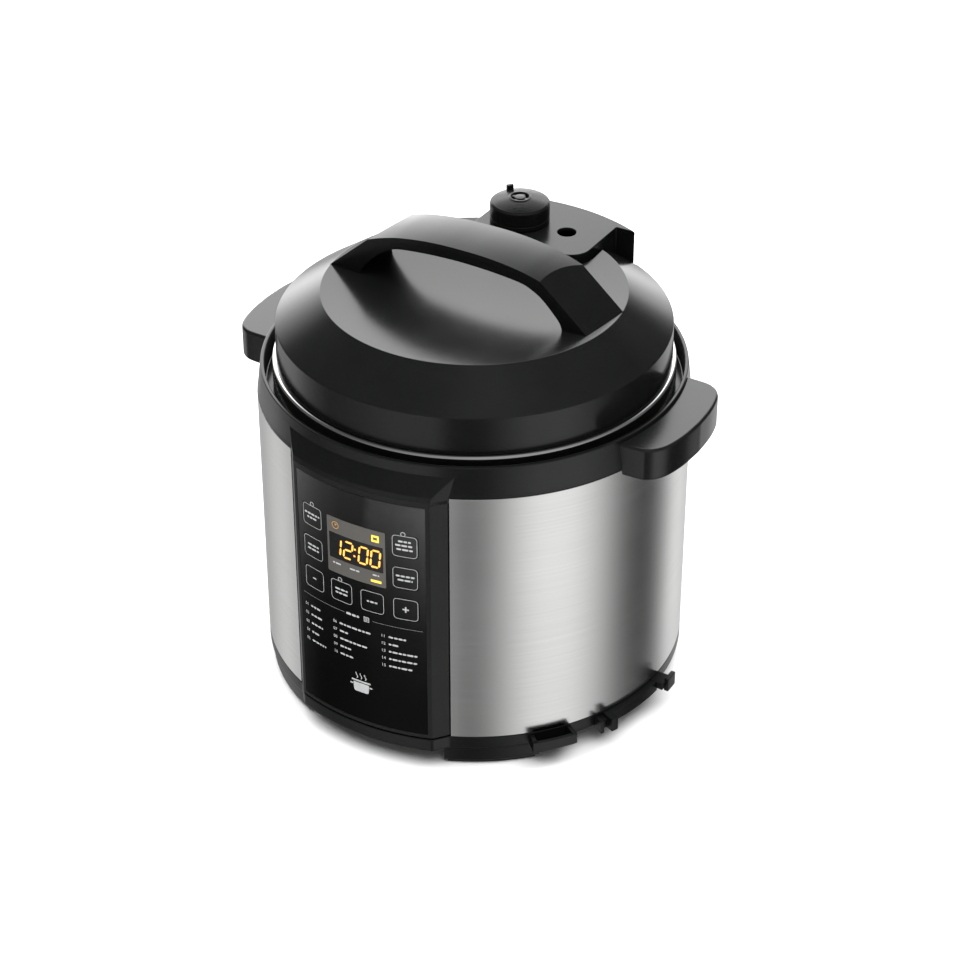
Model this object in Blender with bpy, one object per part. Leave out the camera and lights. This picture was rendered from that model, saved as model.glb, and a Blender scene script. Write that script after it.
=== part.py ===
"""Electric pressure cooker of about six litres, as separate solids.

The frame has +Z up, the control panel at -Y and the floor at Z = 0. Dimensions are in
millimetres and become metres when a mesh is made. Most pieces are turned about the pot's
axis, and angles there are in degrees from the front, positive towards +X.
"""

import math

import bmesh
import bpy
from mathutils import Matrix, Vector

MM = 0.001
GAP = 0.3                     # clearance between pieces that rest on each other
FACETS = 48                   # facets of the large turned pieces
SMALL_FACETS = 20
STEP = 0.06                   # width in degrees of a step in a turned outline

# Heights above the floor
RIM = 230.0                   # top edge of the collar
SLEEVE_TOP = RIM - 21.2
SLEEVE_BOTTOM = 24.3
BASE_BOTTOM = 13.5
PAD_TOP = 1.7
POT_BOTTOM = 70.7

# Radii from the pot's axis
SLEEVE_R = 142.9
SLEEVE_WALL = 0.6
COLLAR_R = 140.0
COLLAR_BORE = 137.6
PANEL_R = 148.5
FRAME_R = 148.8
FOOT_R = 141.6
OUTER_POT_R = 118.2
INNER_POT_R = 113.5
LID_RIM_R = 132.2
SKIRT_R = 130.5

# Control panel
FRAME_FLAT = 19.6             # half angle of the frame's full-height part
FRAME_EDGE = 23.8             # half angle where the frame meets the sleeve
OVERLAY_HALF = 18.5
WINDOW_HALF = 8.3
WINDOW_LOW, WINDOW_HIGH = RIM - 91.3, RIM - 49.2
KEY_HALF = 3.27               # half angle of a key
KEY_HEIGHT = 16.2
KEY_BACK_R = 144.0
OUTER_KEY, INNER_KEY = 13.3, 4.4
ROWS = (RIM - 56.5, RIM - 80.5, RIM - 104.5)
KEYS = {
    "key_delay": (-OUTER_KEY, ROWS[0]),
    "key_pressure": (-OUTER_KEY, ROWS[1]),
    "key_minus": (-OUTER_KEY, ROWS[2]),
    "key_manual": (-INNER_KEY, ROWS[2]),
    "key_menu": (INNER_KEY, ROWS[2]),
    "key_warm": (OUTER_KEY, ROWS[0]),
    "key_time": (OUTER_KEY, ROWS[1]),
    "key_plus": (OUTER_KEY, ROWS[2]),
}

# Bayonet
LUGS = 8
LUG_HALF = 9.5
LUG_R, LUG_GAP_R = 128.5, 121.0
TOOTH_R = 121.6

# Lid
LID_DISH = ((99.4, 48.9), (66.0, 47.7), (33.0, 46.9), (0.0, 46.6))
CONE_EDGE = (129.2, 28.7)
HANDLE_HALF_WIDTH = 19.5
VALVE_Y = 91.0
VENT_X, FLOAT_X = -18.0, 18.0
PLATFORM_TOP = RIM + 53.0
PLATFORM_HALF, PLATFORM_FRONT, PLATFORM_CORNER = 43.3, 62.0, 14.0
PLATFORM_BACK_R = 122.5
WING_R = 127.6
WING_FRONT, WING_TIP = 114.0, 57.3
SLIT = 3.7                    # clear gap between the platform and the lid cover

# Condensate cup on the back
CUP_BACK = 163.0
CUP_FRONT = 145.2
CUP_LOW, CUP_HIGH = 148.0, 200.0
CUP_HALF = 29.5

# The pot's axis stands where the whole object's box is centred front to back
AXIS_Y = (FRAME_R - CUP_BACK) / 2

COLOURS = {
    "black_plastic": ((0.030, 0.032, 0.033), 0.45, 0.0),
    "gloss_black": ((0.010, 0.010, 0.011), 0.12, 0.0),
    "brushed_steel": ((0.62, 0.62, 0.61), 0.32, 1.0),
    "polished_steel": ((0.80, 0.80, 0.79), 0.12, 1.0),
    "aluminium": ((0.70, 0.70, 0.70), 0.40, 1.0),
    "non_stick": ((0.06, 0.06, 0.065), 0.35, 0.2),
    "silicone": ((0.75, 0.74, 0.70), 0.55, 0.0),
    "rubber": ((0.02, 0.02, 0.02), 0.80, 0.0),
    "clear_plastic": ((0.60, 0.62, 0.62), 0.20, 0.0),
    "smoked_window": ((0.10, 0.10, 0.095), 0.15, 0.0),
    "circuit_board": ((0.03, 0.16, 0.07), 0.50, 0.0),
    "brass": ((0.70, 0.52, 0.25), 0.30, 1.0),
}


def clear_scene():
    """Remove every object that the file opened with."""
    for thing in list(bpy.data.objects):
        bpy.data.objects.remove(thing, do_unlink=True)


def material(name):
    """Return the named finish, made the first time that it is asked for."""
    if name in bpy.data.materials:
        return bpy.data.materials[name]
    colour, roughness, metallic = COLOURS[name]
    made = bpy.data.materials.new(name)
    made.use_nodes = True
    shader = made.node_tree.nodes["Principled BSDF"]
    shader.inputs["Base Color"].default_value = (*colour, 1.0)
    shader.inputs["Roughness"].default_value = roughness
    shader.inputs["Metallic"].default_value = metallic
    made.diffuse_color = (*colour, 1.0)
    return made


def place_axis():
    """Make the empty that carries every piece on the pot's axis."""
    axis = bpy.data.objects.new("pot_axis", None)
    axis.location = (0.0, AXIS_Y * MM, 0.0)
    bpy.context.scene.collection.objects.link(axis)
    return axis


def add_piece(name, mesh_data, finish, origin=(0.0, 0.0, 0.0)):
    """Turn millimetre mesh data into a smooth-shaded object whose origin is at the given point."""
    bmesh.ops.remove_doubles(mesh_data, verts=mesh_data.verts, dist=0.001)
    bmesh.ops.recalc_face_normals(mesh_data, faces=mesh_data.faces)
    mesh = bpy.data.meshes.new(name)
    mesh_data.to_mesh(mesh)
    mesh_data.free()
    mesh.transform(Matrix.Scale(MM, 4) @ Matrix.Translation(-Vector(origin)))
    mesh.shade_smooth()
    mesh.set_sharp_from_angle(angle=math.radians(30))
    mesh.materials.append(material(finish))
    piece = bpy.data.objects.new(name, mesh)
    piece.location = Vector(origin) * MM
    piece.parent = bpy.data.objects["pot_axis"]
    bpy.context.scene.collection.objects.link(piece)
    return piece


def polar(radius, angle, height=0.0):
    """Return the point at a radius and an angle from the front."""
    turn = math.radians(angle)
    return (radius * math.sin(turn), -radius * math.cos(turn), height)


def turned(name, profile, finish, span=(0.0, 360.0), steps=FACETS, extra=(), centre=(0.0, 0.0)):
    """Turn a closed profile of (radius, height) points, which may be a function of the angle."""
    low, high = span
    closed = high - low >= 360.0
    count = steps if closed else steps + 1
    angles = sorted({low + (high - low) * i / steps for i in range(count)} | set(extra))
    mesh_data = bmesh.new()
    rows = []
    for angle in angles:
        points = profile(angle) if callable(profile) else profile
        rows.append([mesh_data.verts.new(polar(r, angle, z)) for r, z in points])
    pairs = list(zip(rows, rows[1:])) + ([(rows[-1], rows[0])] if closed else [])
    for row, following in pairs:
        for i in range(len(row)):
            j = (i + 1) % len(row)
            mesh_data.faces.new((row[i], row[j], following[j], following[i]))
    if not closed:
        mesh_data.faces.new(rows[0])
        mesh_data.faces.new(rows[-1])
    bmesh.ops.translate(mesh_data, vec=(*centre, 0.0), verts=mesh_data.verts)
    return add_piece(name, mesh_data, finish, (*centre, 0.0))


def extruded(name, outlines, low, high, finish, across="Z", origin=(0.0, 0.0, 0.0)):
    """Extrude one closed outline or several apart from each other between two planes."""
    order = {"X": (2, 0, 1), "Y": (0, 2, 1), "Z": (0, 1, 2)}[across]
    if not isinstance(outlines[0][0], (tuple, list)):
        outlines = [outlines]
    mesh_data = bmesh.new()
    for outline in outlines:
        ends = []
        for level in (low, high):
            points = [(a, b, level) for a, b in outline]
            ends.append([mesh_data.verts.new([p[k] for k in order]) for p in points])
        for i in range(len(outline)):
            j = (i + 1) % len(outline)
            mesh_data.faces.new((ends[0][i], ends[0][j], ends[1][j], ends[1][i]))
        mesh_data.faces.new(ends[0])
        mesh_data.faces.new(ends[1])
    return add_piece(name, mesh_data, finish, origin)


def rectangle(x_low, x_high, y_low, y_high):
    """Return a rectangle's outline."""
    return [(x_low, y_low), (x_high, y_low), (x_high, y_high), (x_low, y_high)]


def circle(radius, x=0.0, y=0.0, sides=SMALL_FACETS):
    """Return a circle's outline, turned a little so that its corners miss other pieces' edges."""
    turns = [2 * math.pi * (i + 0.25) / sides for i in range(sides)]
    return [(x + radius * math.cos(t), y + radius * math.sin(t)) for t in turns]


def arc(radius, start, end, steps, x=0.0, y=0.0):
    """Return points along an arc, in degrees counter-clockwise from +X."""
    turns = [math.radians(start + (end - start) * i / steps) for i in range(steps + 1)]
    return [(x + radius * math.cos(t), y + radius * math.sin(t)) for t in turns]


def rod(name, radius, low, high, finish, x=0.0, y=0.0, sides=SMALL_FACETS):
    """Make an upright round rod."""
    return extruded(name, circle(radius, sides=sides, x=x, y=y), low, high, finish, origin=(x, y, low))


def apply_tool(target, tool, operation):
    """Cut the target with a hidden tool, or join the tool to it."""
    tool.hide_render = True
    tool.display_type = "WIRE"
    change = target.modifiers.new(tool.name, "BOOLEAN")
    change.operation = operation
    change.solver = "EXACT"
    change.object = tool
    return target


def cut(target, tool):
    """Remove the tool's shape from the target."""
    return apply_tool(target, tool, "DIFFERENCE")


def join(target, tool):
    """Add the tool's shape to the target."""
    return apply_tool(target, tool, "UNION")


def panel_blend(angle):
    """Return 1 on the panel's full-height part, 0 on the sleeve, and a ramp between."""
    away = abs((angle + 180.0) % 360.0 - 180.0)
    return min(1.0, max(0.0, (FRAME_EDGE - away) / (FRAME_EDGE - FRAME_FLAT)))


def mix(low, high, share):
    """Interpolate between two numbers."""
    return low + (high - low) * share


PANEL_CORNERS = (FRAME_FLAT, FRAME_EDGE, 360.0 - FRAME_EDGE, 360.0 - FRAME_FLAT)


def base_profile(angle):
    """Section of the base tub, wider below the control panel."""
    outer = mix(SLEEVE_R, FRAME_R, panel_blend(angle))
    return [
        (outer, SLEEVE_BOTTOM - GAP), (outer, BASE_BOTTOM + 2.0), (outer - 2.0, BASE_BOTTOM),
        (100.3, BASE_BOTTOM), (100.3, 16.0), (138.0, 16.0), (138.0, 34.0), (139.9, 34.0),
        (139.9, SLEEVE_BOTTOM - GAP),
    ]


def add_base():
    """Base tub with its feet, its posts, the side brackets and the mains inlet's seat."""
    base = turned("base_shell", base_profile, "black_plastic", extra=PANEL_CORNERS)
    for number, middle in enumerate((35.0, 145.0, 215.0, 325.0), start=1):
        around = (middle - 13.0, middle + 13.0)
        foot = [(FOOT_R - 1.0, PAD_TOP + GAP), (FOOT_R, 5.0), (FOOT_R, 14.8), (118.0, 14.8), (118.0, PAD_TOP + GAP)]
        join(base, turned(f"foot_block_{number}", foot, "black_plastic", around, steps=5))
        pad = [(FOOT_R - 2.5, 0.0), (FOOT_R - 2.5, PAD_TOP), (120.0, PAD_TOP), (120.0, 0.0)]
        turned(f"foot_pad_{number}", pad, "rubber", (middle - 12.0, middle + 12.0), steps=4)
    for number, angle in enumerate((60.0, 180.0, 300.0), start=1):
        x, y, _ = polar(107.0, angle)
        join(base, rod(f"pot_post_{number}", 4.5, 14.8, 52.1, "black_plastic", x, y, 12))
        rod(f"base_screw_{number}", 3.5, BASE_BOTTOM - GAP - 1.6, BASE_BOTTOM - GAP, "polished_steel", x, y, 12)
    for tool in side_brackets():
        join(base, tool)
    cut(base, extruded("inlet_seat", rectangle(-22.4, 22.4, 124.0, 150.0), 24.15, 60.0, "black_plastic"))
    cover = extruded("bottom_cover", circle(100.0, sides=36), BASE_BOTTOM, BASE_BOTTOM + 2.0, "black_plastic")
    slots = [rectangle(x - 2.0, x + 2.0, -30.0, 30.0) for x in (-50.0, -38.0, -26.0, 26.0, 38.0, 50.0)]
    cut(cover, extruded("cover_slots", slots, 10.0, 18.0, "black_plastic"))


def side_brackets():
    """Loop, post, ledge and hook that stand out low on the right-hand side."""
    low, high = BASE_BOTTOM + 0.5, BASE_BOTTOM + 8.5
    wall, out = 141.5, 152.0

    def block(name, start, end, inner, outer, bottom, top, steps=2):
        section = [(inner, bottom), (outer, bottom), (outer, top), (inner, top)]
        return turned(name, section, "black_plastic", (start, end), steps=steps)

    return [
        block("loop_bar", 44.8, 56.6, out - 2.4, out, low, high, 3),
        block("loop_cheek_front", 45.0, 46.0, wall, out - 0.6, low + 0.2, high - 0.2, 1),
        block("loop_cheek_back", 55.4, 56.4, wall, out - 0.6, low + 0.2, high - 0.2, 1),
        block("post_front", 64.0, 65.0, wall, out - 1.5, low - 1.5, high, 1),
        block("post_back", 66.6, 68.6, wall, out + 1.0, low - 1.0, high + 1.0, 1),
        block("ledge", 68.0, 87.0, wall, out - 5.0, low + 1.0, high + 1.2, 4),
        block("hook_arm", 86.0, 90.5, wall, out + 0.2, low + 4.5, high + 1.6, 1),
        block("hook_plate", 87.8, 91.8, out - 1.2, out + 2.0, low + 1.0, high + 3.0, 1),
    ]


def add_sleeve():
    """Steel sleeve round the body, open at the control panel."""
    section = [
        (SLEEVE_R, SLEEVE_BOTTOM), (SLEEVE_R, SLEEVE_TOP),
        (SLEEVE_R - SLEEVE_WALL, SLEEVE_TOP), (SLEEVE_R - SLEEVE_WALL, SLEEVE_BOTTOM),
    ]
    edge = FRAME_EDGE + 0.3
    sleeve = turned("outer_sleeve", section, "brushed_steel", (edge, 360.0 - edge), steps=42)
    cut(sleeve, extruded("inlet_notch", rectangle(-22.4, 22.4, 120.0, 150.0), 20.0, 54.4, "brushed_steel"))


def collar_profile(angle):
    """Section of the collar, which swells at the front to cover the panel's top edge."""
    share = panel_blend(angle)
    lip = mix(RIM - 20.9, RIM - 24.3, share)
    return [
        (COLLAR_R, RIM), (COLLAR_R + 1.0, RIM - 6.8),
        (mix(142.4, 148.0, share), RIM - 18.4), (mix(SLEEVE_R, FRAME_R, share), lip),
        (139.9, lip), (139.9, RIM - 29.0), (138.4, RIM - 29.0), (138.4, RIM - 17.5),
        (118.8, RIM - 17.5), (118.8, RIM - 15.5), (COLLAR_BORE, RIM - 15.5), (COLLAR_BORE, RIM),
    ]


def add_collar():
    """Collar with the drain spout at its back, and the two side handles."""
    collar = turned("upper_collar", collar_profile, "black_plastic", extra=PANEL_CORNERS)
    spout = [(139.0, 211.0), (150.0, 211.0), (150.0, 203.0), (154.0, 203.0), (154.0, 216.0), (139.0, 216.0)]
    join(collar, extruded("drain_spout", spout, -5.0, 5.0, "black_plastic", across="X"))
    keep_out = [
        (0.0, 203.0), (143.25, 203.0), (143.25, 209.3), (142.75, 211.6),
        (141.35, RIM - 6.8), (140.35, RIM + 2.0), (0.0, RIM + 2.0),
    ]
    half = [(128.0, 48.0), (145.0, 47.5), (151.5, 45.5), (156.5, 41.0), (160.5, 33.0), (163.5, 18.0)]
    for side, sign in (("left", -1.0), ("right", 1.0)):
        outline = [(sign * x, -y) for x, y in half] + [(sign * 164.6, 0.0)]
        outline += [(sign * x, y) for x, y in reversed(half)]
        handle = extruded(f"side_handle_{side}", outline, RIM - 25.0, RIM - 2.5, "black_plastic")
        cut(handle, turned(f"collar_space_{side}", keep_out, "black_plastic"))


def frame_profile(angle):
    """Section of the panel frame, which turns back to the sleeve at both sides."""
    share = panel_blend(angle)
    outer = mix(SLEEVE_R, FRAME_R, share)
    inner = mix(140.4, 144.4, share)
    low, high = SLEEVE_BOTTOM + 1.0, mix(SLEEVE_TOP, RIM - 24.6, share)
    return [(outer, low), (outer, high), (inner, high), (inner, low)]


def sector(name, half, inner, outer, low, high, finish, middle=0.0, steps=10):
    """Make a curved block centred on an angle."""
    section = [(outer, low), (outer, high), (inner, high), (inner, low)]
    return turned(name, section, finish, (middle - half, middle + half), steps=steps)


def add_panel():
    """Panel frame, glossy overlay, display window and the eight keys."""
    edge = FRAME_EDGE
    corners = (-FRAME_FLAT, FRAME_FLAT)
    frame = turned("panel_frame", frame_profile, "black_plastic", (-edge, edge), steps=14, extra=corners)
    low, high = SLEEVE_BOTTOM + 4.0, RIM - 26.2
    floor = PANEL_R - 1.5
    cut(frame, sector("overlay_pocket", OVERLAY_HALF + 0.12, floor, 152.0, low - GAP, high + GAP, "black_plastic"))
    cut(frame, sector("board_opening", 17.2, 136.0, 152.0, ROWS[2] - 9.0, ROWS[0] + 9.0, "black_plastic"))
    overlay = sector("panel_overlay", OVERLAY_HALF, floor + GAP, PANEL_R, low, high, "gloss_black", steps=12)
    clear = math.degrees(GAP / PANEL_R)
    opening = (WINDOW_HALF + clear, 140.0, 152.0, WINDOW_LOW - GAP, WINDOW_HIGH + GAP)
    cut(overlay, sector("window_opening", *opening, "gloss_black"))
    sector("display_window", WINDOW_HALF, PANEL_R - 1.2, PANEL_R, WINDOW_LOW, WINDOW_HIGH, "smoked_window")
    for name, (middle, height) in KEYS.items():
        low_edge, high_edge = height - KEY_HEIGHT / 2, height + KEY_HEIGHT / 2
        hole = (KEY_HALF + clear, 140.0, 152.0, low_edge - GAP, high_edge + GAP)
        cut(overlay, sector(f"{name}_opening", *hole, "gloss_black", middle, 2))
        key = (KEY_HALF, KEY_BACK_R, PANEL_R, low_edge, high_edge)
        sector(name, *key, "gloss_black", middle, 2)


def add_electronics():
    """Display module, control board with a switch behind each key, and the power board."""
    module_back, module_front = -136.0, -142.0
    extruded("display_module", rectangle(-20.0, 20.0, module_front, module_back), WINDOW_LOW + 4.0,
             WINDOW_HIGH - 4.0, "smoked_window")
    board_back = -131.0
    board_face = board_back - 1.6
    board = extruded("control_board", rectangle(-46.0, 46.0, board_face, board_back), ROWS[2] - 12.0,
                     ROWS[0] + 12.0, "circuit_board")
    for name, (middle, height) in KEYS.items():
        x, y, _ = polar(KEY_BACK_R - 1.6, middle)
        reach = min(y + 0.3, module_back + 30.0)
        switch = rectangle(x - 2.5, x + 2.5, reach, board_back - 0.8)
        join(board, extruded(f"{name}_switch", switch, height - 2.5, height + 2.5, "circuit_board"))
    power = extruded("power_board", rectangle(-48.0, 48.0, -60.0, 30.0), 22.0, 23.6, "circuit_board")
    for number, (x, y) in enumerate(((-44, -56), (44, -56), (-44, 26), (44, 26)), start=1):
        join(power, rod(f"board_leg_{number}", 2.5, 15.8, 22.8, "circuit_board", x, y, 8))
    for number, (x, y, size, top) in enumerate(((-25, -30, 12, 40), (20, -35, 10, 36), (22, 5, 9, 42)), start=1):
        shape = rectangle(x - size, x + size, y - size, y + size)
        join(power, extruded(f"board_part_{number}", shape, 22.8, top, "circuit_board"))


def add_inlet():
    """Mains inlet at the back, with three pins in its socket."""
    low, high = SLEEVE_BOTTOM + 0.2, 54.0
    shell = extruded("inlet_socket", rectangle(-22.0, 22.0, 126.0, 143.2), low, high, "black_plastic")
    cut(shell, extruded("socket_hollow", rectangle(-13.5, 13.5, 128.5, 150.0), low + 5.0, high - 5.0, "black_plastic"))
    for name, x, z in (("live", -7.0, 36.5), ("neutral", 7.0, 36.5), ("earth", 0.0, 42.5)):
        pin = rectangle(x - 1.0, x + 1.0, z - 2.0, z + 2.0)
        extruded(f"inlet_pin_{name}", pin, 128.8, 137.5, "brass", across="Y")


def is_near(angle, first):
    """Say whether an angle is on one of the bayonet's evenly spaced lugs."""
    pitch = 360.0 / LUGS
    away = abs((angle - first + pitch / 2) % pitch - pitch / 2)
    return away < LUG_HALF


def lug_edges(first):
    """Return the angles on both sides of every lug's two edges."""
    edges = []
    for number in range(LUGS):
        middle = (first + number * 360.0 / LUGS) % 360.0
        for side in (-1, 1):
            for inside in (-STEP / 2, STEP / 2):
                edges.append((middle + side * LUG_HALF + inside) % 360.0)
    return edges


LUG_FIRST = 180.0 / LUGS      # the pot's lugs stand between the lid's teeth, so the lid lifts straight off


def outer_pot_profile(angle):
    """Section of the outer pot, whose flange grows into lugs."""
    flange = LUG_R if is_near(angle, LUG_FIRST) else LUG_GAP_R
    wall = OUTER_POT_R - 1.2
    return [
        (6.0, 52.4), (112.0, 52.4), (OUTER_POT_R, 58.4), (OUTER_POT_R, RIM - 7.5), (flange, RIM - 7.5),
        (flange, RIM - 4.0), (wall, RIM - 4.0), (wall, 59.0), (111.5, 53.6), (6.0, 53.6),
    ]


def add_pots():
    """Outer pot with its bayonet lugs, and the removable inner pot."""
    outer = turned("outer_pot", outer_pot_profile, "aluminium", extra=lug_edges(LUG_FIRST))
    for side, x in (("left", -20.0), ("right", 20.0)):
        cut(outer, rod(f"terminal_hole_{side}", 3.6, 48.0, 60.0, "aluminium", x, 59.0, 10))
    wall = INNER_POT_R - 1.5
    top = RIM - 4.0 + GAP
    inner = [
        (0.0, POT_BOTTOM), (93.0, POT_BOTTOM), (107.5, 76.0), (INNER_POT_R, 90.0), (INNER_POT_R, top),
        (120.0, top), (120.0, top + 1.6), (wall, top + 1.6), (wall, 90.3), (106.4, 77.2),
        (92.6, POT_BOTTOM + 1.5), (0.0, POT_BOTTOM + 1.5),
    ]
    turned("inner_pot", inner, "non_stick")


def add_heater():
    """Heating plate, its sprung sensor and the safety cut-outs below the outer pot."""
    top = POT_BOTTOM - GAP
    plate = [
        (13.0, 60.0), (52.0, 60.0), (55.0, 56.0), (69.0, 56.0), (72.0, 60.0), (84.0, 62.0), (84.0, top),
        (13.0, top),
    ]
    heater = turned("heating_plate", plate, "aluminium", steps=36)
    for side, x in (("left", -20.0), ("right", 20.0)):
        join(heater, rod(f"heater_terminal_{side}", 2.6, 44.0, 58.0, "aluminium", x, 59.0, 10))
    sensor = [(0.0, 40.0), (4.0, 40.0), (4.0, 62.0), (11.5, 62.0), (12.0, 64.0), (12.0, top - 1.0), (11.0, top), (0.0, top)]
    turned("temperature_sensor", sensor, "aluminium", steps=16)
    add_sensor_spring()
    rod("pressure_switch", 11.0, 40.0, 52.1, "black_plastic", -35.0, 45.0, 16)
    rod("thermal_fuse", 3.2, 46.0, 52.1, "polished_steel", 35.0, 45.0, 12)


def add_sensor_spring():
    """Coil spring between the outer pot's floor and the sensor's head."""
    turns, per_turn, coil, wire = 3, 12, 7.0, 0.7
    low, high = 53.9 + wire, 61.7 - wire
    points = [i / (turns * per_turn) for i in range(turns * per_turn + 1)]
    curve = bpy.data.curves.new("sensor_spring", "CURVE")
    curve.dimensions = "3D"
    curve.bevel_depth = wire * MM
    curve.bevel_resolution = 1
    curve.use_fill_caps = True
    spline = curve.splines.new("POLY")
    spline.points.add(len(points) - 1)
    for target, share in zip(spline.points, points):
        angle = 2 * math.pi * turns * share
        place = (coil * math.cos(angle), coil * math.sin(angle), mix(low, high, share))
        target.co = (*[value * MM for value in place], 1.0)
    curve.materials.append(material("polished_steel"))
    spring = bpy.data.objects.new("sensor_spring", curve)
    spring.parent = bpy.data.objects["pot_axis"]
    bpy.context.scene.collection.objects.link(spring)


def lid_shell_profile(angle):
    """Section of the steel lid, whose skirt carries inward teeth."""
    tooth = TOOTH_R if is_near(angle, 0.0) else LID_RIM_R - 1.5
    inner = LID_RIM_R - 1.5
    return [
        (0.0, RIM + 14.8), (123.2, RIM + 13.8), (126.4, RIM + 2.7), (LID_RIM_R - 0.6, RIM + 2.7),
        (LID_RIM_R, RIM + 1.2), (LID_RIM_R, RIM - 11.0), (tooth, RIM - 11.0), (tooth, RIM - 8.5),
        (inner, RIM - 8.0), (inner, RIM + 1.2), (125.4, RIM + 1.2), (122.5, RIM + 12.0), (0.0, RIM + 13.0),
    ]


def add_lid_steel():
    """Steel lid, the ring that holds its gasket, and the gasket."""
    shell = turned("lid_shell", lid_shell_profile, "polished_steel", extra=lug_edges(0.0))
    cut(shell, rod("vent_hole", 5.4, 235.0, 250.0, "polished_steel", VENT_X, VALVE_Y, 16))
    cut(shell, rod("float_hole", 4.3, 235.0, 250.0, "polished_steel", FLOAT_X, VALVE_Y, 16))
    rack = [
        (110.0, 229.5), (112.8, 229.5), (112.8, RIM + 11.7), (111.4, RIM + 11.7), (111.4, 230.9), (110.0, 230.9),
    ]
    turned("gasket_rack", rack, "polished_steel")
    seal = [
        (113.3, 228.2), (123.0, 228.2), (123.5, 230.5), (123.0, 236.0), (120.5, 236.0), (120.0, 231.0),
        (113.3, 230.0),
    ]
    turned("sealing_ring", seal, "silicone")


def platform_outline(extra=0.0):
    """Outline of the valve platform, grown outwards by an amount."""
    half, front, corner = PLATFORM_HALF + extra, PLATFORM_FRONT - extra, PLATFORM_CORNER + extra
    back = PLATFORM_BACK_R + 2 * extra
    reach = math.degrees(math.asin(half / back))
    right = arc(corner, -90.0, 0.0, 4, half - corner, front + corner)
    left = arc(corner, 180.0, 270.0, 4, corner - half, front + corner)
    return right + arc(back, 90.0 - reach, 90.0 + reach, 8) + left


def wing_outline():
    """Outline of the platform's back rim, which ends in a wedge on the right."""
    left = math.degrees(math.asin(PLATFORM_HALF / WING_R))
    right = math.degrees(math.asin(WING_TIP / WING_R))
    inset = PLATFORM_HALF - 0.1
    return arc(WING_R, 90.0 - right, 90.0 + left, 10) + [(-inset, 110.0), (inset, 110.0), (inset, WING_FRONT)]


def add_lid_cover():
    """Plastic lid cover, open at the back round the valve platform."""
    top = [(r, RIM + z) for r, z in (CONE_EDGE, *LID_DISH)]
    under = [(0.0, 273.7), (33.0, 274.0), (66.0, 274.8), (98.0, 276.0), (126.8, 257.2), (128.0, RIM + 3.0)]
    cover = turned("lid_cover", [(SKIRT_R, RIM + 3.0), *top, *under], "black_plastic")
    floor = RIM + CONE_EDGE[1] - 1.1
    cut(cover, extruded("platform_cutout", platform_outline(SLIT), floor, 300.0, "black_plastic"))
    side, front, tip = PLATFORM_HALF + SLIT, WING_FRONT - SLIT, WING_TIP + 2.2
    space = [(-side, 100.0), (side, 100.0), (side, front), (tip, front), (tip + 2.0, 134.0), (-side, 134.0)]
    cut(cover, extruded("wing_cutout", space, floor, 300.0, "black_plastic"))
    join(cover, rod("cover_boss", 8.0, 245.2, 275.0, "black_plastic", sides=12))


def add_lid_handle():
    """Arched lid handle with sloping ends."""
    top = [
        (96.0, 49.0), (83.0, 61.7), (67.0, 73.8), (59.0, 78.3), (51.5, 81.6), (44.0, 83.5), (29.0, 85.4),
        (14.0, 86.4),
    ]
    under = [(74.0, 48.3), (73.0, 52.5), (66.0, 60.5), (59.0, 67.0), (51.0, 71.4), (44.0, 73.5), (29.0, 75.2), (15.0, 76.0)]
    outline = [(-x, RIM + z) for x, z in top] + [(0.0, RIM + 86.5)] + [(x, RIM + z) for x, z in reversed(top)]
    outline += [(x, RIM + z) for x, z in under] + [(0.0, RIM + 76.5)] + [(-x, RIM + z) for x, z in reversed(under)]
    width = HANDLE_HALF_WIDTH
    extruded("lid_handle", outline, -width, width, "black_plastic", across="Y")


def add_valves():
    """Valve platform with its wing, the vent pipe and knob, and the float valve."""
    housing = extruded("valve_housing", platform_outline(), 247.0, PLATFORM_TOP, "black_plastic")
    join(housing, extruded("wing", wing_outline(), 258.0, PLATFORM_TOP, "black_plastic"))
    cut(housing, extruded("housing_hollow", platform_outline(-2.5), 240.0, PLATFORM_TOP - 2.5, "black_plastic"))
    cut(housing, rod("vent_opening", 6.2, 270.0, 300.0, "black_plastic", VENT_X, VALVE_Y, 16))
    cut(housing, rod("float_opening", 6.3, 270.0, 300.0, "black_plastic", FLOAT_X, VALVE_Y, 20))
    vent = (VENT_X, VALVE_Y)
    pipe = [(1.5, 233.0), (5.0, 233.0), (5.0, 291.0), (3.6, 294.3), (1.5, 294.3)]
    turned("vent_pipe", pipe, "polished_steel", steps=16, centre=vent)
    nut = rod("vent_nut", 8.8, 235.5, 241.6, "polished_steel", *vent, sides=6)
    cut(nut, rod("nut_bore", 5.4, 230.0, 250.0, "polished_steel", *vent, sides=16))
    add_shield(vent)
    weight = [(5.5, 284.5), (14.5, 284.5), (14.5, 291.5), (9.0, 293.5), (5.5, 293.5)]
    turned("valve_weight", weight, "polished_steel", steps=20, centre=vent)
    add_knob(vent)
    add_float((FLOAT_X, VALVE_Y))


def add_shield(centre):
    """Perforated shield that keeps food out of the vent pipe."""
    shield = [(0.0, 229.0), (12.0, 229.0), (14.0, 231.0), (14.0, 240.9), (13.0, 240.9), (13.0, 231.5), (11.6, 230.2), (0.0, 230.2)]
    body = turned("anti_block_shield", shield, "polished_steel", steps=16, centre=centre)
    for name, direction in (("across", (20.0, 1.5)), ("along", (1.5, 20.0))):
        x, y = centre
        slot = rectangle(x - direction[0], x + direction[0], y - direction[1], y + direction[1])
        cut(body, extruded(f"shield_slot_{name}", slot, 233.5, 237.5, "polished_steel"))


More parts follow.
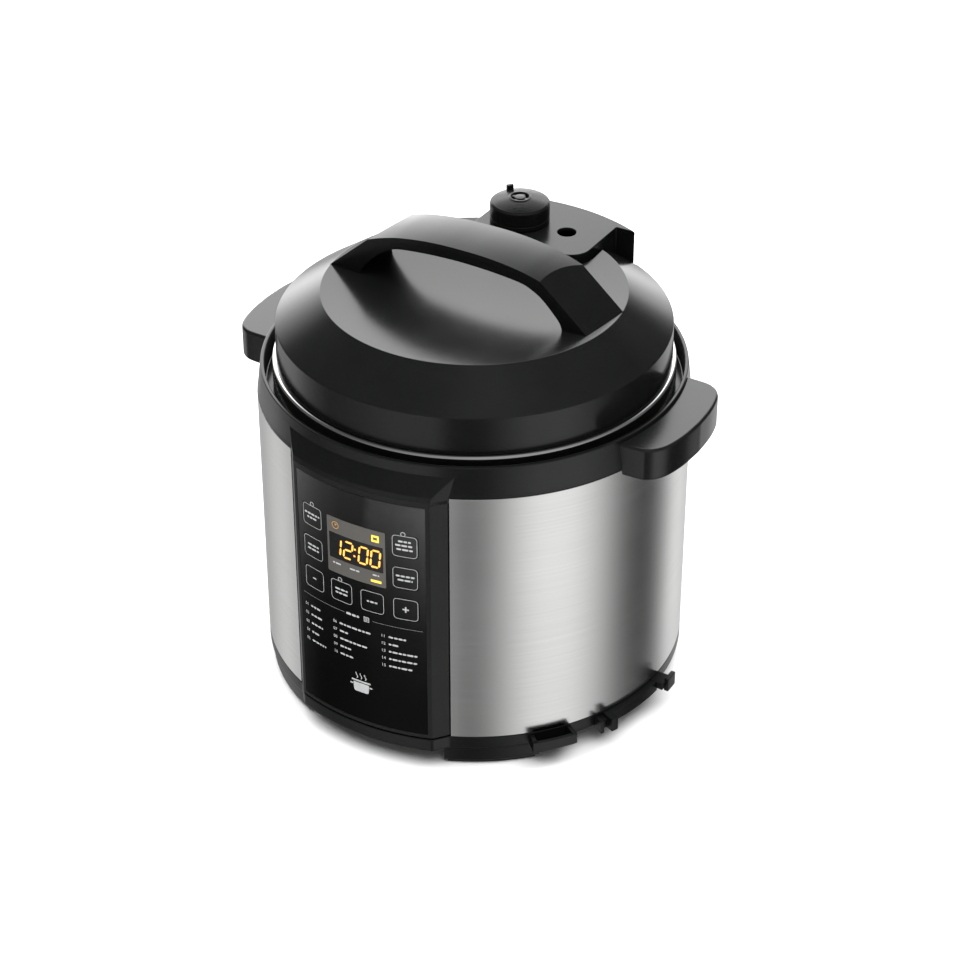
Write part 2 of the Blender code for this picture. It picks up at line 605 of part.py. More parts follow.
def add_knob(centre):
    """Pressure knob: a hollow cap with four vents round its middle and a grip tab."""
    low = PLATFORM_TOP + 0.5
    cap = [
        (20.2, low), (20.2, 296.8), (14.8, 298.8), (8.0, 300.1), (0.0, 300.7), (0.0, 296.6), (9.5, 296.6),
        (16.0, 294.5), (16.6, low),
    ]
    knob = turned("pressure_knob", cap, "black_plastic", steps=24, centre=centre)
    x, y = centre
    tab = [(x + across, y + along) for across, along in ((-14.6, 6.9), (-16.6, 10.9), (-12.6, 12.9), (-10.6, 8.9))]
    join(knob, extruded("knob_tab", tab, 296.0, 302.0, "black_plastic"))
    for number in range(4):
        middle = 45.0 + 90.0 * number
        vent = arc(6.6, middle - 32.0, middle + 32.0, 3, x, y) + arc(4.4, middle + 32.0, middle - 32.0, 3, x, y)
        cut(knob, extruded(f"knob_vent_{number}", vent, 292.0, 305.0, "black_plastic"))


def add_float(centre):
    """Float valve pin with its gasket below the steel lid."""
    pin = [(0.0, 230.5), (6.4, 230.5), (6.4, 233.0), (3.6, 233.0), (3.6, 276.0), (2.8, 277.0), (0.0, 277.0)]
    turned("float_valve", pin, "polished_steel", steps=16, centre=centre)
    gasket = [(4.3, 239.4), (7.5, 239.4), (7.5, 241.6), (4.3, 241.6)]
    turned("float_gasket", gasket, "silicone", steps=16, centre=centre)


def add_cup():
    """Condensate cup and the holder that it slides into."""
    low, high = CUP_LOW, CUP_HIGH
    cup = extruded("condensate_cup", rectangle(-CUP_HALF, CUP_HALF, CUP_FRONT, CUP_BACK), low, high, "clear_plastic")
    inside = rectangle(2.0 - CUP_HALF, CUP_HALF - 2.0, CUP_FRONT + 2.0, CUP_BACK - 2.0)
    cut(cup, extruded("cup_hollow", inside, low + 2.0, high + 5.0, "clear_plastic"))
    back, inner, outer = 143.2, CUP_HALF + GAP, CUP_HALF + 2.3
    channel = [
        (-outer, back), (outer, back), (outer, 155.0), (inner, 155.0), (inner, back + 1.6),
        (-inner, back + 1.6), (-inner, 155.0), (-outer, 155.0),
    ]
    holder = extruded("cup_holder", channel, low - 2.3, 190.0, "black_plastic")
    join(holder, extruded("holder_shelf", rectangle(-outer, outer, back, 155.0), low - 2.3, low - GAP, "black_plastic"))


def main():
    clear_scene()
    place_axis()
    add_base()
    add_sleeve()
    add_collar()
    add_panel()
    add_electronics()
    add_inlet()
    add_pots()
    add_heater()
    add_lid_steel()
    add_lid_cover()
    add_lid_handle()
    add_valves()
    add_cup()


main()
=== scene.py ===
"""Looks of an electric pressure cooker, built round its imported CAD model.

Shapes are made in millimetres about the pot's axis, with Z up from the floor, and become
metres when they are published. Angles are degrees from the front, positive towards +X.
"""

import random
from math import asin, atan2, cos, degrees, pi, radians, sin, tan

import bmesh
import bpy
from mathutils import Matrix, Vector


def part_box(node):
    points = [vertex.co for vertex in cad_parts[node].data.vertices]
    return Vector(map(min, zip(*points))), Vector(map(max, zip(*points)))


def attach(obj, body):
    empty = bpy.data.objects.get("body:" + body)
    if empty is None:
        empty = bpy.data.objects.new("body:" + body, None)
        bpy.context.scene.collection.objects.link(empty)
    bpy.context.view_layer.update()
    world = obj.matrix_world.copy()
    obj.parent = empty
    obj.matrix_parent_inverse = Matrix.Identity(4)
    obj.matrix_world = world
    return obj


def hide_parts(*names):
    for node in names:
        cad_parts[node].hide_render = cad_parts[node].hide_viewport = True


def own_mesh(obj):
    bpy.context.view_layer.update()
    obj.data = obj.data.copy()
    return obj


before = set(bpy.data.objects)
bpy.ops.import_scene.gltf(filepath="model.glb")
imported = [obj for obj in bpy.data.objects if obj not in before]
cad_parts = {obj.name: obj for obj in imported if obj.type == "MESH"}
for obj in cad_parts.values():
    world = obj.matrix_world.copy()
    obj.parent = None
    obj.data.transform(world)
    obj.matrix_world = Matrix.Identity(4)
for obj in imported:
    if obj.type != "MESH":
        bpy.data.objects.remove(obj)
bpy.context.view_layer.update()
scene = bpy.context.scene

MM = 0.001
ROUND = 216  # facets of the large turned pieces
SMALL_ROUND = 64
AXIS_Y = sum(corner.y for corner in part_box("lid_shell")) / 2
SHARP = 40  # edges that turn more than this many degrees stay sharp

# The finishes of each material slot. CAD nodes that still show take the first.
SLOTS = {
    "black_plastic": ("base", "satin", "frame", "lid", "deck", "knob"),
    "gloss_black": ("gloss", "print", "print_dim"),
    "smoked_window": ("screen", "bezel", "lamp", "amber", "amber_glow", "amber_dim", "yellow"),
    "brushed_steel": ("sleeve",), "polished_steel": ("steel",), "aluminium": ("aluminium",),
    "non_stick": ("non_stick",), "silicone": ("silicone",), "rubber": ("rubber",),
    "clear_plastic": ("clear",), "circuit_board": ("board",), "brass": ("brass",),
}
finish = {}  # filled by make_materials


def corners(node):
    """Return a CAD node's lowest and highest corners in millimetres about the pot's axis."""
    low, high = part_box(node)
    shift = Vector((0, AXIS_Y, 0))
    return (low - shift) / MM, (high - shift) / MM


# Driving dimensions, read from the frame
RIM = corners("upper_collar")[1].z
SLEEVE_LOW, SLEEVE_HIGH = (corner.z for corner in corners("outer_sleeve"))
SLEEVE_R = corners("outer_sleeve")[1].x
BASE_LOW = corners("bottom_cover")[0].z
FRAME_R = -corners("panel_frame")[0].y
PANEL_R = -corners("panel_overlay")[0].y
PANEL_LOW, PANEL_HIGH = (corner.z for corner in corners("panel_overlay"))
WINDOW_LOW, WINDOW_HIGH = (corner.z for corner in corners("display_window"))
LID_R = corners("lid_shell")[1].x
SKIRT_R = corners("lid_cover")[1].x
HANDLE_TOP = corners("lid_handle")[1].z
HANDLE_HALF = corners("lid_handle")[1].y
PLATFORM_TOP = corners("valve_housing")[1].z
PAD_TOP = corners("foot_pad_1")[1].z
VENT, FLOAT = (tuple(sum(corner[i] for corner in corners(node)) / 2 for i in range(2))
               for node in ("vent_pipe", "float_valve"))

# Panel angles and key sizes
FRAME_FLAT, FRAME_EDGE = 19.6, 23.8
OVERLAY_HALF, WINDOW_HALF, KEY_HALF = 18.5, 8.3, 3.27
KEY_HEIGHT = 16.2
LINE = 0.30  # width of a printed outline
PRINT = 0.04  # height of a printed mark
SLANT = 0.10  # lean of the clock's digits
BEND_STEP = 2  # longest flat run across the curved panel

# Lid
CONE_LOW = (129.2, 28.7)
CONE_HIGH = (99.4, 48.9)
DISH_LOW = 45.8
PLATFORM_HALF, PLATFORM_BACK_R = 43.3, 122.5
WING_R, WING_FRONT, WING_TIP = 127.6, 114, 57.3
SLIT = 3.7
HANDLE_CROWN = 1.3  # fall of the lid handle's top from its middle to its edges
SLOPE_TURN = -8.3  # turn of the handle's end slopes, in degrees
LUGS, LUG_HALF = 8, 9.5

# Camera and light
CAMERA_AROUND, CAMERA_ABOVE, CAMERA_AWAY = 30.4, 29.95, 1.669
CAMERA_LENS = 95.5
AIM_RIGHT, AIM_UP = 0.00209, -0.04977
SOFTBOX = 3.7  # strength of the light behind
OVERHEAD_POWER, OVERHEAD_SIZE, OVERHEAD_HIGH = 365, 5, 3


# ---- mesh helpers

def polar(radius, angle, height=0):
    """Return the point at a radius and an angle from the front."""
    turn = radians(angle)
    return (radius * sin(turn), -radius * cos(turn), height)


def mix(low, high, share):
    """Interpolate between two numbers."""
    return low + (high - low) * share


def rounded(points, steps=4, up=0):
    """Return a closed outline, raised, with its corners rounded by their third value."""
    points = [(x, y + up, *radius) for x, y, *radius in points]
    outline = []
    for i, (x, y, *radius) in enumerate(points):
        corner = Vector((x, y))
        before = Vector(points[i - 1][:2]) - corner
        after = Vector(points[(i + 1) % len(points)][:2]) - corner
        if not radius or before.length * after.length == 0:
            outline.append((x, y))
            continue
        half = before.angle(after) / 2
        run = min(radius[0] / tan(half), 0.49 * before.length, 0.49 * after.length)
        start, end = corner + before.normalized() * run, corner + after.normalized() * run
        for step in range(steps + 1):
            t = step / steps
            point = start * (1 - t) ** 2 + corner * 2 * t * (1 - t) + end * t ** 2
            outline.append(tuple(point))
    return outline


def smooth_line(points, steps=5):
    """Return a Catmull-Rom curve through the points."""
    padded = [Vector(p) for p in (points[0], *points, points[-1])]
    line = []
    for a, b, c, d in zip(padded, padded[1:], padded[2:], padded[3:]):
        for step in range(steps):
            t = step / steps
            line.append(tuple(0.5 * (
                2 * b + (c - a) * t + (2 * a - 5 * b + 4 * c - d) * t * t
                + (3 * b - a - 3 * c + d) * t ** 3)))
    return line + [tuple(points[-1])]


def arc(radius, start, end, steps, x=0, y=0):
    """Return points along an arc, in degrees counter-clockwise from +X."""
    turns = [radians(start + (end - start) * i / steps) for i in range(steps + 1)]
    return [(x + radius * cos(t), y + radius * sin(t)) for t in turns]


def add_object(name, data):
    """Link a new object into the scene."""
    made = bpy.data.objects.new(name, data)
    scene.collection.objects.link(made)
    return made


def make_object(name, bm):
    """Turn bmesh data into an unpublished object."""
    bmesh.ops.remove_doubles(bm, verts=bm.verts, dist=0.0005)
    bmesh.ops.recalc_face_normals(bm, faces=bm.faces)
    mesh = bpy.data.meshes.new(name)
    bm.to_mesh(mesh)
    bm.free()
    return add_object(name, mesh)


def loft(name, rows, closed=False):
    """Join successive loops of equal length, and cap both ends unless the row is closed."""
    bm = bmesh.new()
    loops = [[bm.verts.new(point) for point in row] for row in rows]
    pairs = list(zip(loops, loops[1:])) + ([(loops[-1], loops[0])] if closed else [])
    for loop, following in pairs:
        for i in range(len(loop)):
            j = (i + 1) % len(loop)
            bm.faces.new((loop[i], loop[j], following[j], following[i]))
    if not closed:
        bm.faces.new(loops[0])
        bm.faces.new(loops[-1])
    return make_object(name, bm)


def turned(name, section, span=(0, 360), steps=ROUND, extra=(), centre=(0, 0)):
    """Turn a closed (radius, height) section, which may be a function of the angle."""
    low, high = span
    closed = high - low >= 360
    count = steps if closed else steps + 1
    angles = {low + (high - low) * i / steps for i in range(count)} | set(extra)
    x, y = centre
    rows = []
    for angle in sorted(angles):
        points = section(angle) if callable(section) else section
        ring = [polar(r, angle, z) for r, z in points]
        rows.append([(x + a, y + b, z) for a, b, z in ring])
    return loft(name, rows, closed)


def prism(name, outline, low, high, axis="Z"):
    """Extrude a closed outline between two planes across an axis."""
    order = {"X": (2, 0, 1), "Y": (0, 2, 1), "Z": (0, 1, 2)}[axis]
    rows = [[tuple((a, b, level)[k] for k in order) for a, b in outline] for level in (low, high)]
    return loft(name, rows)


def evaluated_mesh(piece):
    """Return a new mesh of the object as its modifiers or curves shape it."""
    graph = bpy.context.evaluated_depsgraph_get()
    return bpy.data.meshes.new_from_object(piece.evaluated_get(graph))


def curve_mesh(curve):
    """Return the mesh that a curve fills."""
    flat = add_object(curve.name, curve)
    mesh = evaluated_mesh(flat)
    bpy.data.objects.remove(flat, do_unlink=True)
    return mesh


def settle(piece):
    """Keep the piece's evaluated mesh and drop its modifiers."""
    mesh = evaluated_mesh(piece)
    piece.modifiers.clear()
    piece.data = mesh
    return piece


def carve(piece, tool, operation="DIFFERENCE"):
    """Cut the piece with a tool, or keep only what both share, and remove the tool."""
    change = piece.modifiers.new("carve", "BOOLEAN")
    change.operation = operation
    change.solver = "EXACT"
    change.object = tool
    settle(piece)
    bpy.data.objects.remove(tool, do_unlink=True)
    return piece


def soften(piece, width, segments=3, angle=24):
    """Round the piece's sharp edges."""
    change = piece.modifiers.new("soften", "BEVEL")
    change.width = width
    change.segments = segments
    change.limit_method = "ANGLE"
    change.angle_limit = radians(angle)
    change.use_clamp_overlap = True
    change.miter_outer = "MITER_ARC"
    return settle(piece)


def publish(piece, look, *nodes, body="root", slot=None):
    """Bring the piece to metres in the frame, finish it, and let it ride on its body."""
    slot = slot or next(name for name, looks in SLOTS.items() if look in looks)
    piece.data.transform(Matrix.Translation((0, AXIS_Y, 0)) @ Matrix.Scale(MM, 4))
    piece.data.shade_smooth()
    piece.data.set_sharp_from_angle(angle=radians(SHARP))
    even = piece.modifiers.new("even", "WEIGHTED_NORMAL")
    even.keep_sharp = True
    even.weight = 100
    piece.data.materials.clear()
    piece.data.materials.append(finish[look])
    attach(piece, body)
    if nodes:
        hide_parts(*nodes)
    return piece


# ---- materials

def fill(node, inputs):
    """Set or link a shader node's inputs."""
    for key, value in inputs.items():
        if isinstance(value, bpy.types.NodeSocket):
            node.id_data.links.new(value, node.inputs[key])
        else:
            node.inputs[key].default_value = value


def add_node(tree, kind, inputs=None, **settings):
    """Add a shader node and set its properties and inputs."""
    node = tree.nodes.new("ShaderNode" + kind)
    for key, value in settings.items():
        setattr(node, key, value)
    fill(node, inputs or {})
    return node


def shade(shader, **sockets):
    """Set or link the shader's own sockets, named in lower case."""
    for key, value in sockets.items():
        fill(shader, {key.replace("_", " ").title().replace("Ior", "IOR"): value})


def combine(tree, first, second, operation="ADD", kind="Math"):
    """Return what a Math or VectorMath node makes of two values."""
    return add_node(tree, kind, {0: first, 1: second}, operation=operation).outputs[0]


def start_material(name, **settings):
    """Return a new material, its tree and its shader with fixed values set."""
    made = bpy.data.materials.new(name)
    made.use_nodes = True
    shader = made.node_tree.nodes["Principled BSDF"]
    shade(shader, **settings)
    return made, made.node_tree, shader


def grain(tree, scale, detail=3, roughness=0.55):
    """Return noise of the given scale per metre, one number or one for each axis."""
    sizes = scale if isinstance(scale, tuple) else (scale,) * 3
    place = add_node(tree, "TexCoord").outputs["Object"]
    mapped = add_node(tree, "Mapping", {"Vector": place, "Scale": sizes}).outputs["Vector"]
    inputs = {"Vector": mapped, "Scale": 1, "Detail": detail, "Roughness": roughness}
    return add_node(tree, "TexNoise", inputs).outputs["Fac"]


def spread(tree, value, low, high, start=0.3, end=0.7):
    """Map a value from one range, or from the usual range of noise, to another."""
    inputs = {"Value": value, "From Min": start, "From Max": end, "To Min": low, "To Max": high}
    return add_node(tree, "MapRange", inputs).outputs["Result"]


def tint(tree, value, colour, change):
    """Return the colour from darker to lighter by a share, as the value goes from 0 to 1."""
    dark = (*[c * (1 - change) for c in colour], 1)
    light = (*[min(1, c * (1 + change)) for c in colour], 1)
    return add_node(tree, "Mix", {"Factor": value, 6: dark, 7: light}, data_type="RGBA").outputs[2]


def add_bump(tree, shader, height, strength, distance):
    """Let a height value disturb the shader's normal, over a distance in metres."""
    inputs = {"Height": height, "Strength": strength, "Distance": distance}
    shade(shader, normal=add_node(tree, "Bump", inputs).outputs["Normal"])


def moulded(name, colour, roughness, texture=0.00045, depth=0.000012, change=0.10, **settings):
    """Moulded plastic or rubber: fine texture, cloudy gloss and a slight change of tone."""
    made, tree, shader = start_material(name, **settings)
    cloud = grain(tree, 38, 4)
    fine = grain(tree, 1 / texture, 2)
    shade(shader, base_color=tint(tree, spread(tree, cloud, 0, 1), colour, change))
    rough = spread(tree, cloud, roughness - 0.012, roughness + 0.012)
    shade(shader, roughness=combine(tree, rough, spread(tree, fine, -0.01, 0.01)))
    add_bump(tree, shader, fine, 0.35, depth)
    return made


def brushed(name, colour, roughness, streaks, depth=0.000006, **settings):
    """Brushed metal, with its streaks given per metre on each axis."""
    made, tree, shader = start_material(name, metallic=1, **settings)
    fine = grain(tree, streaks, 2)
    wide = grain(tree, tuple(s * 0.22 for s in streaks), 2)
    lines = spread(tree, combine(tree, fine, wide), 0, 1, 0.65, 1.35)
    shade(shader, base_color=tint(tree, lines, colour, 0.014))
    cloud = grain(tree, 9, 3)
    rough = spread(tree, lines, roughness + 0.02, roughness - 0.02, 0, 1)
    shade(shader, roughness=combine(tree, rough, spread(tree, cloud, -0.015, 0.015)))
    add_bump(tree, shader, lines, 0.10, depth)
    return made, tree, shader


def lit(name, colour, strength):
    """A lit display segment of slightly uneven brightness."""
    made, tree, shader = start_material(name, roughness=0.4, emission_strength=strength)
    glow = tint(tree, spread(tree, grain(tree, 900, 2), 0, 1), colour, 0.12)
    shade(shader, base_color=glow, emission_color=glow)
    return made


def sleeve_steel():
    """Stainless steel brushed round the body, whose tangent follows the brushing."""
    made, tree, shader = brushed("steel_brushed_round", (0.82, 0.82, 0.81), 0.23, (7, 7, 3600),
                                 anisotropic=0.75)
    tangent = add_node(tree, "Tangent", direction_type="UV_MAP", uv_map="brushing")
    shade(shader, tangent=tangent.outputs["Tangent"])
    return made


def overlay_painted_reflection():
    """Glossy overlay, painted reflection: grey at its top, black at its foot, darkest left of its
    middle.
    """
    # The overlay's own reflection is kept weak; the painted reflection in its colour stands in for
    # it.
    made, tree, shader = start_material("overlay_gloss_black", specular_ior_level=0.08)
    cloud = spread(tree, grain(tree, 60), -0.02, 0.02)
    place = add_node(tree, "SeparateXYZ", {0: add_node(tree, "TexCoord").outputs["Object"]})
    half = PANEL_R * sin(radians(OVERLAY_HALF)) * MM
    shares = []
    for axis, low, high in ((0, -half, half), (2, PANEL_LOW * MM, PANEL_HIGH * MM)):
        shares.append(combine(tree, spread(tree, place.outputs[axis], 0, 1, low, high), cloud))
    # Painted reflection: ramps across and up the panel set the grey of the base colour.
    width = ramp(tree, shares[0], [
        (0, 1), (0.12, 0.67), (0.23, 0.42), (0.37, 0.25), (0.56, 0.21), (0.63, 0.46), (0.78, 0.60),
        (0.90, 0.78), (1, 1)])
    height = ramp(tree, shares[1], [
        (0, 0.0006), (0.15, 0.0009), (0.31, 0.0027), (0.48, 0.0058), (0.63, 0.0153), (0.8, 0.0295),
        (1, 0.054)])
    grey = combine(tree, width, height, "MULTIPLY", "VectorMath")
    shade(shader, base_color=grey, roughness=spread(tree, grain(tree, 700), 0.13, 0.17))
    return made


def make_materials():
    """Return the finishes by name."""
    return {
        **{look: moulded(f"plastic_{look}_black", colour, roughness, specular_ior_level=specular)
           for look, colour, roughness, specular in (
               ("satin", (0.0042, 0.0045, 0.0044), 0.22, 0.50),
               ("base", (0.0042, 0.0045, 0.0044), 0.30, 0.36),
               ("frame", (0.0090, 0.0093, 0.0092), 0.30, 0.20),
               ("lid", (0.0042, 0.0045, 0.0044), 0.18, 0.42),
               ("deck", (0.0040, 0.0043, 0.0042), 0.22, 0.28),
               ("knob", (0.0038, 0.0040, 0.0039), 0.26, 0.34))},
        # Painted reflection, on the overlay, its backing and the key caps.
        "gloss": overlay_painted_reflection(),
        "bezel": moulded("window_grey", (0.085, 0.080, 0.072), 0.22, 0.001, 0.000003, 0.05),
        "screen": moulded("display_black", (0.0045, 0.0042, 0.0040), 0.16, 0.002, 0.000002, 0.2),
        "print": moulded("print_light_grey", (0.42, 0.43, 0.43), 0.45, 0.0003, 0.000004, 0.06),
        "print_dim": moulded("print_dim_grey", (0.20, 0.20, 0.20), 0.45, 0.0003, 0.000004, 0.06),
        "amber": lit("display_amber", (1, 0.52, 0.075), 0.85),
        "amber_glow": lit("display_amber_halo", (0.55, 0.14, 0.008), 0.45),
        "amber_dim": lit("display_amber_dim", (0.42, 0.21, 0.035), 0.30),
        "yellow": lit("display_yellow", (0.85, 0.60, 0.05), 0.6),
        "lamp": moulded("lamp_lens_dark", (0.030, 0.026, 0.022), 0.20, 0.0005, 0.000004),
        "sleeve": sleeve_steel(),
        "steel": brushed("steel_polished", (0.80, 0.80, 0.79), 0.16, (60, 60, 1800), 0.000002)[0],
        "aluminium": brushed("aluminium_spun", (0.66, 0.66, 0.665), 0.34, (30, 30, 1500))[0],
        "non_stick": moulded("coating_non_stick", (0.022, 0.022, 0.024), 0.38, 0.0009, 0.00003,
                             0.25),
        "silicone": moulded("silicone_pale", (0.62, 0.61, 0.57), 0.48, 0.0006, 0.00001, 0.05,
                            sheen_weight=0.15),
        "rubber": moulded("rubber_black", (0.012, 0.012, 0.012), 0.75, 0.0005, 0.00004),
        "clear": moulded("plastic_milky", (0.50, 0.52, 0.53), 0.24, 0.0008, 0.00001, 0.05,
                         transmission_weight=0.35, ior=1.46),
        "board": moulded("laminate_green", (0.018, 0.11, 0.045), 0.42, 0.0012, 0.00004, 0.3),
        "brass": brushed("brass_blades", (0.66, 0.47, 0.20), 0.26, (900, 60, 900))[0],
    }


# ---- body

def panel_share(angle):
    """Return 1 on the panel's full-height part, 0 on the sleeve, and a soft ramp between."""
    away = abs((angle + 180) % 360 - 180)
    shares = [(FRAME_EDGE - a) / (FRAME_EDGE - FRAME_FLAT) for a in (away - 0.3, away + 0.3)]
    return sum(min(1, max(0, share)) for share in shares) / 2


# Rows close to the panel's corners, for the base tub's shape
PANEL_ROWS = [side * (corner + step) % 360
              for side in (-1, 1) for corner in (FRAME_FLAT, FRAME_EDGE)
              for step in (-0.45, -0.3, -0.1, 0.1, 0.3, 0.45)]


def base_section(angle):
    """Section of the base tub, wider below the control panel."""
    outer = mix(SLEEVE_R, FRAME_R, panel_share(angle))
    top = SLEEVE_LOW - 0.3
    return rounded([
        (outer - 0.1, top, 0.8), (outer, BASE_LOW, 3.2), (100.3, BASE_LOW, 0.5), (100.3, 16),
        (138, 16), (138, top)])


def add_base():
    """Base tub, feet, side brackets and rubber pads."""
    tub = turned("base_tub", base_section, extra=PANEL_ROWS)
    publish(tub, "base", "base_shell")
    foot = rounded([
        (140.8, PAD_TOP + 0.3, 3), (141.6, 14), (118.5, 14), (118.5, PAD_TOP + 0.3, 1.5)])
    pad = rounded([(138.6, 0, 0.6), (139, PAD_TOP), (120.2, PAD_TOP), (120.2, 0, 0.6)])
    for number, middle in enumerate((35, 145, 215, 325), start=1):
        block = turned(f"foot_{number}", foot, (middle - 13, middle + 13), 24)
        publish(soften(block, 2.2), "base")
        piece = turned(f"foot_rubber_{number}", pad, (middle - 12, middle + 12), 24)
        publish(soften(piece, 0.5, 2), "rubber", f"foot_pad_{number}")
    add_side_brackets()


def add_side_brackets():
    """Loop, posts, ledge and hook that stand out low on the right-hand side."""
    low, high = BASE_LOW + 0.5, BASE_LOW + 8.5
    wall, out = 141.5, 152
    blocks = (
        ("loop_bar", 44.8, 56.6, out - 2.4, out, low, high),
        ("loop_floor", 45, 56.4, wall, out - 1, low, low + 1.4),
        ("loop_cheek_front", 44.9, 46.1, wall, out - 0.5, low, high),
        ("loop_cheek_back", 55.3, 56.5, wall, out - 0.5, low, high + 0.6),
        ("post_front", 64, 65, wall, out - 1.5, low - 1.5, high),
        ("post_back", 66.6, 68.6, wall, out + 1, low - 1, high + 1),
        ("post_web", 64.8, 66.8, wall, out - 4, low, high - 1),
        ("ledge", 68, 87, wall, out - 5, low + 1, high + 1.2),
        ("hook_arm", 86, 90.5, wall, out + 0.2, low + 4.5, high + 1.6),
        ("hook_plate", 87.8, 91.8, out - 1.2, out + 2, low + 1, high + 3),
    )
    for name, start, end, inner, outer, bottom, top in blocks:
        section = [(inner, bottom), (outer, bottom), (outer, top), (inner, top)]
        block = turned(f"bracket_{name}", section, (start, end), max(2, round(end - start)))
        publish(soften(block, 0.45), "base")


def add_sleeve():
    """Brushed steel sleeve with a rolled top edge, open at the panel and notched for the inlet."""
    edge = FRAME_EDGE + 0.3
    section = rounded([
        (SLEEVE_R, SLEEVE_LOW, 0.2), (SLEEVE_R, SLEEVE_HIGH, 0.5), (SLEEVE_R - 1.2, SLEEVE_HIGH),
        (SLEEVE_R - 1.2, SLEEVE_LOW)])
    sleeve = turned("sleeve", section, (edge, 360 - edge), 200)
    low, high = corners("inlet_socket")
    notch = rounded([
        (low.x - 0.4, 10), (high.x + 0.4, 10), (high.x + 0.4, high.z + 0.4, 2),
        (low.x - 0.4, high.z + 0.4, 2)])
    carve(sleeve, prism("notch", notch, 120, 150, "Y"))
    map_brushing(sleeve)
    publish(sleeve, "sleeve", "outer_sleeve")


def map_brushing(piece):
    """Unroll the piece round the axis, for the tangent of the brushed finish."""
    layer = piece.data.uv_layers.new(name="brushing")
    for face in piece.data.polygons:
        centre = atan2(face.center.x, -face.center.y)
        for loop in face.loop_indices:
            point = piece.data.vertices[piece.data.loops[loop].vertex_index].co
            turn = atan2(point.x, -point.y)
            turn += 2 * pi * round((centre - turn) / (2 * pi))
            layer.data[loop].uv = (turn / (2 * pi) + 0.5, point.z / 300)


def facet_outline(outer, inner, grow=0):
    """Outline of the panel seen from above: an arc in front and a straight facet on each side."""
    start, end = Vector(polar(outer, FRAME_FLAT)[:2]), Vector(polar(SLEEVE_R, FRAME_EDGE)[:2])
    run = end - start
    first, last = start - run * grow, end + run * grow * 3
    reach = degrees(atan2(first.x, -first.y))
    radius = first.length
    front = [polar(radius, mix(-reach, reach, i / 32))[:2] for i in range(33)]
    side = degrees(atan2(last.x, -last.y)) - 0.1
    back = [polar(inner, mix(side, -side, i / 40))[:2] for i in range(41)]
    return front + [tuple(last)] + back + [(-last.x, last.y)]


def add_collar():
    """Collar round the rim, the visor over the panel, and the drain spout."""
    section = rounded([
        (140, 0, 0.9), (141, -6.8, 3), (142.4, -18.4, 2), (SLEEVE_R, -20.9, 0.4), (139.9, -20.9),
        (139.9, -29), (138.4, -29), (138.4, -17.5), (118.8, -17.5), (118.8, -15.5, 0.6),
        (137.6, -15.5, 1.5), (137.6, 0, 0.7),
    ], up=RIM)
    publish(turned("collar", section), "lid", "upper_collar")
    # Painted shade: a thin matt dark sheet on the collar's inner wall, below a thin glossy line at
    # its top.
    shade_sheet_section = [(137.45, RIM - 1.2), (137.63, RIM - 1.2), (137.63, RIM - 15.4), (137.45, RIM - 15.4)]
    publish(turned("collar_shade_sheet", shade_sheet_section), "rubber", slot="black_plastic")
    slope = rounded([(139.9, -5), (148, -18.4, 0.8), (FRAME_R, -24.3, 0.3), (139.9, -24.3)], up=RIM)
    visor = turned("collar_visor", slope, (-26, 26), 60)
    outline = facet_outline(FRAME_R, 136, 0.25)
    carve(visor, prism("visor_sides", outline, RIM - 40, RIM + 5), "INTERSECT")
    publish(soften(visor, 0.5), "deck")
    spout = rounded([(141, 211), (150, 211, 1), (150, 203), (154, 203), (154, 216, 2.5), (141, 216)])
    publish(soften(prism("drain_spout", spout, -5, 5, "X"), 0.6), "satin")


def add_side_handles():
    """Two side handles with rounded edges, cut to fit the collar."""
    curve = smooth_line([
        (128, 48), (145, 47.5), (151.5, 45.5), (156.5, 41), (160.5, 33), (163.5, 18),
        (164.6, 0)], 6)
    for side, sign in (("left", -1), ("right", 1)):
        low, high = corners(f"side_handle_{side}")
        outline = [(sign * x, -y) for x, y in curve]
        outline += [(sign * x, y) for x, y in reversed(curve[:-1])]
        handle = prism(f"grip_{side}", outline, low.z, high.z)
        soften(handle, 2.1, 5)
        keep_out = [
            (0, 190), (142.9, 190), (142.9, 209.3), (142.5, 211.6), (141.1, RIM - 6.8),
            (140.2, RIM + 2), (0, RIM + 2)]
        carve(handle, turned("collar_space", keep_out))
        publish(handle, "satin", f"side_handle_{side}")


# ---- control panel

def plate(name, loops, thickness, edge=0):
    """Fill closed outlines, the inner ones as holes, to a thickness in front of z = 0."""
    curve = bpy.data.curves.new(name, "CURVE")
    curve.dimensions = "2D"
    curve.fill_mode = "BOTH"
    curve.extrude = thickness / 2 - edge
    curve.bevel_depth = edge
    curve.bevel_resolution = 2
    curve.offset = -edge
    for loop in loops:
        spline = curve.splines.new("POLY")
        spline.points.add(len(loop) - 1)
        spline.use_cyclic_u = True
        for point, (x, y) in zip(spline.points, loop):
            point.co = (x, y, 0, 1)
    bm = bmesh.new()
    bm.from_mesh(curve_mesh(curve))
    bmesh.ops.translate(bm, vec=(0, 0, thickness / 2), verts=bm.verts)
    return make_object(name, bm)


def wrap(piece, radius, middle=0, height=0):
    """Bend a flat plate round the axis: its x runs round, its y up and its z outwards."""
    bm = bmesh.new()
    bm.from_mesh(piece.data)
    lowest = min(v.co.x for v in bm.verts)
    highest = max(v.co.x for v in bm.verts)
    cuts = int((highest - lowest) / BEND_STEP)
    for number in range(1, cuts + 1):
        place = mix(lowest, highest, number / (cuts + 1))
        everything = bm.verts[:] + bm.edges[:] + bm.faces[:]
        bmesh.ops.bisect_plane(bm, geom=everything, plane_co=(place, 0, 0), plane_no=(1, 0, 0))
    for vertex in bm.verts:
        x, y, z = vertex.co
        vertex.co = polar(radius + z, middle + degrees(x / radius), height + y)
    bmesh.ops.recalc_face_normals(bm, faces=bm.faces)
    bm.to_mesh(piece.data)
    bm.free()
    return piece


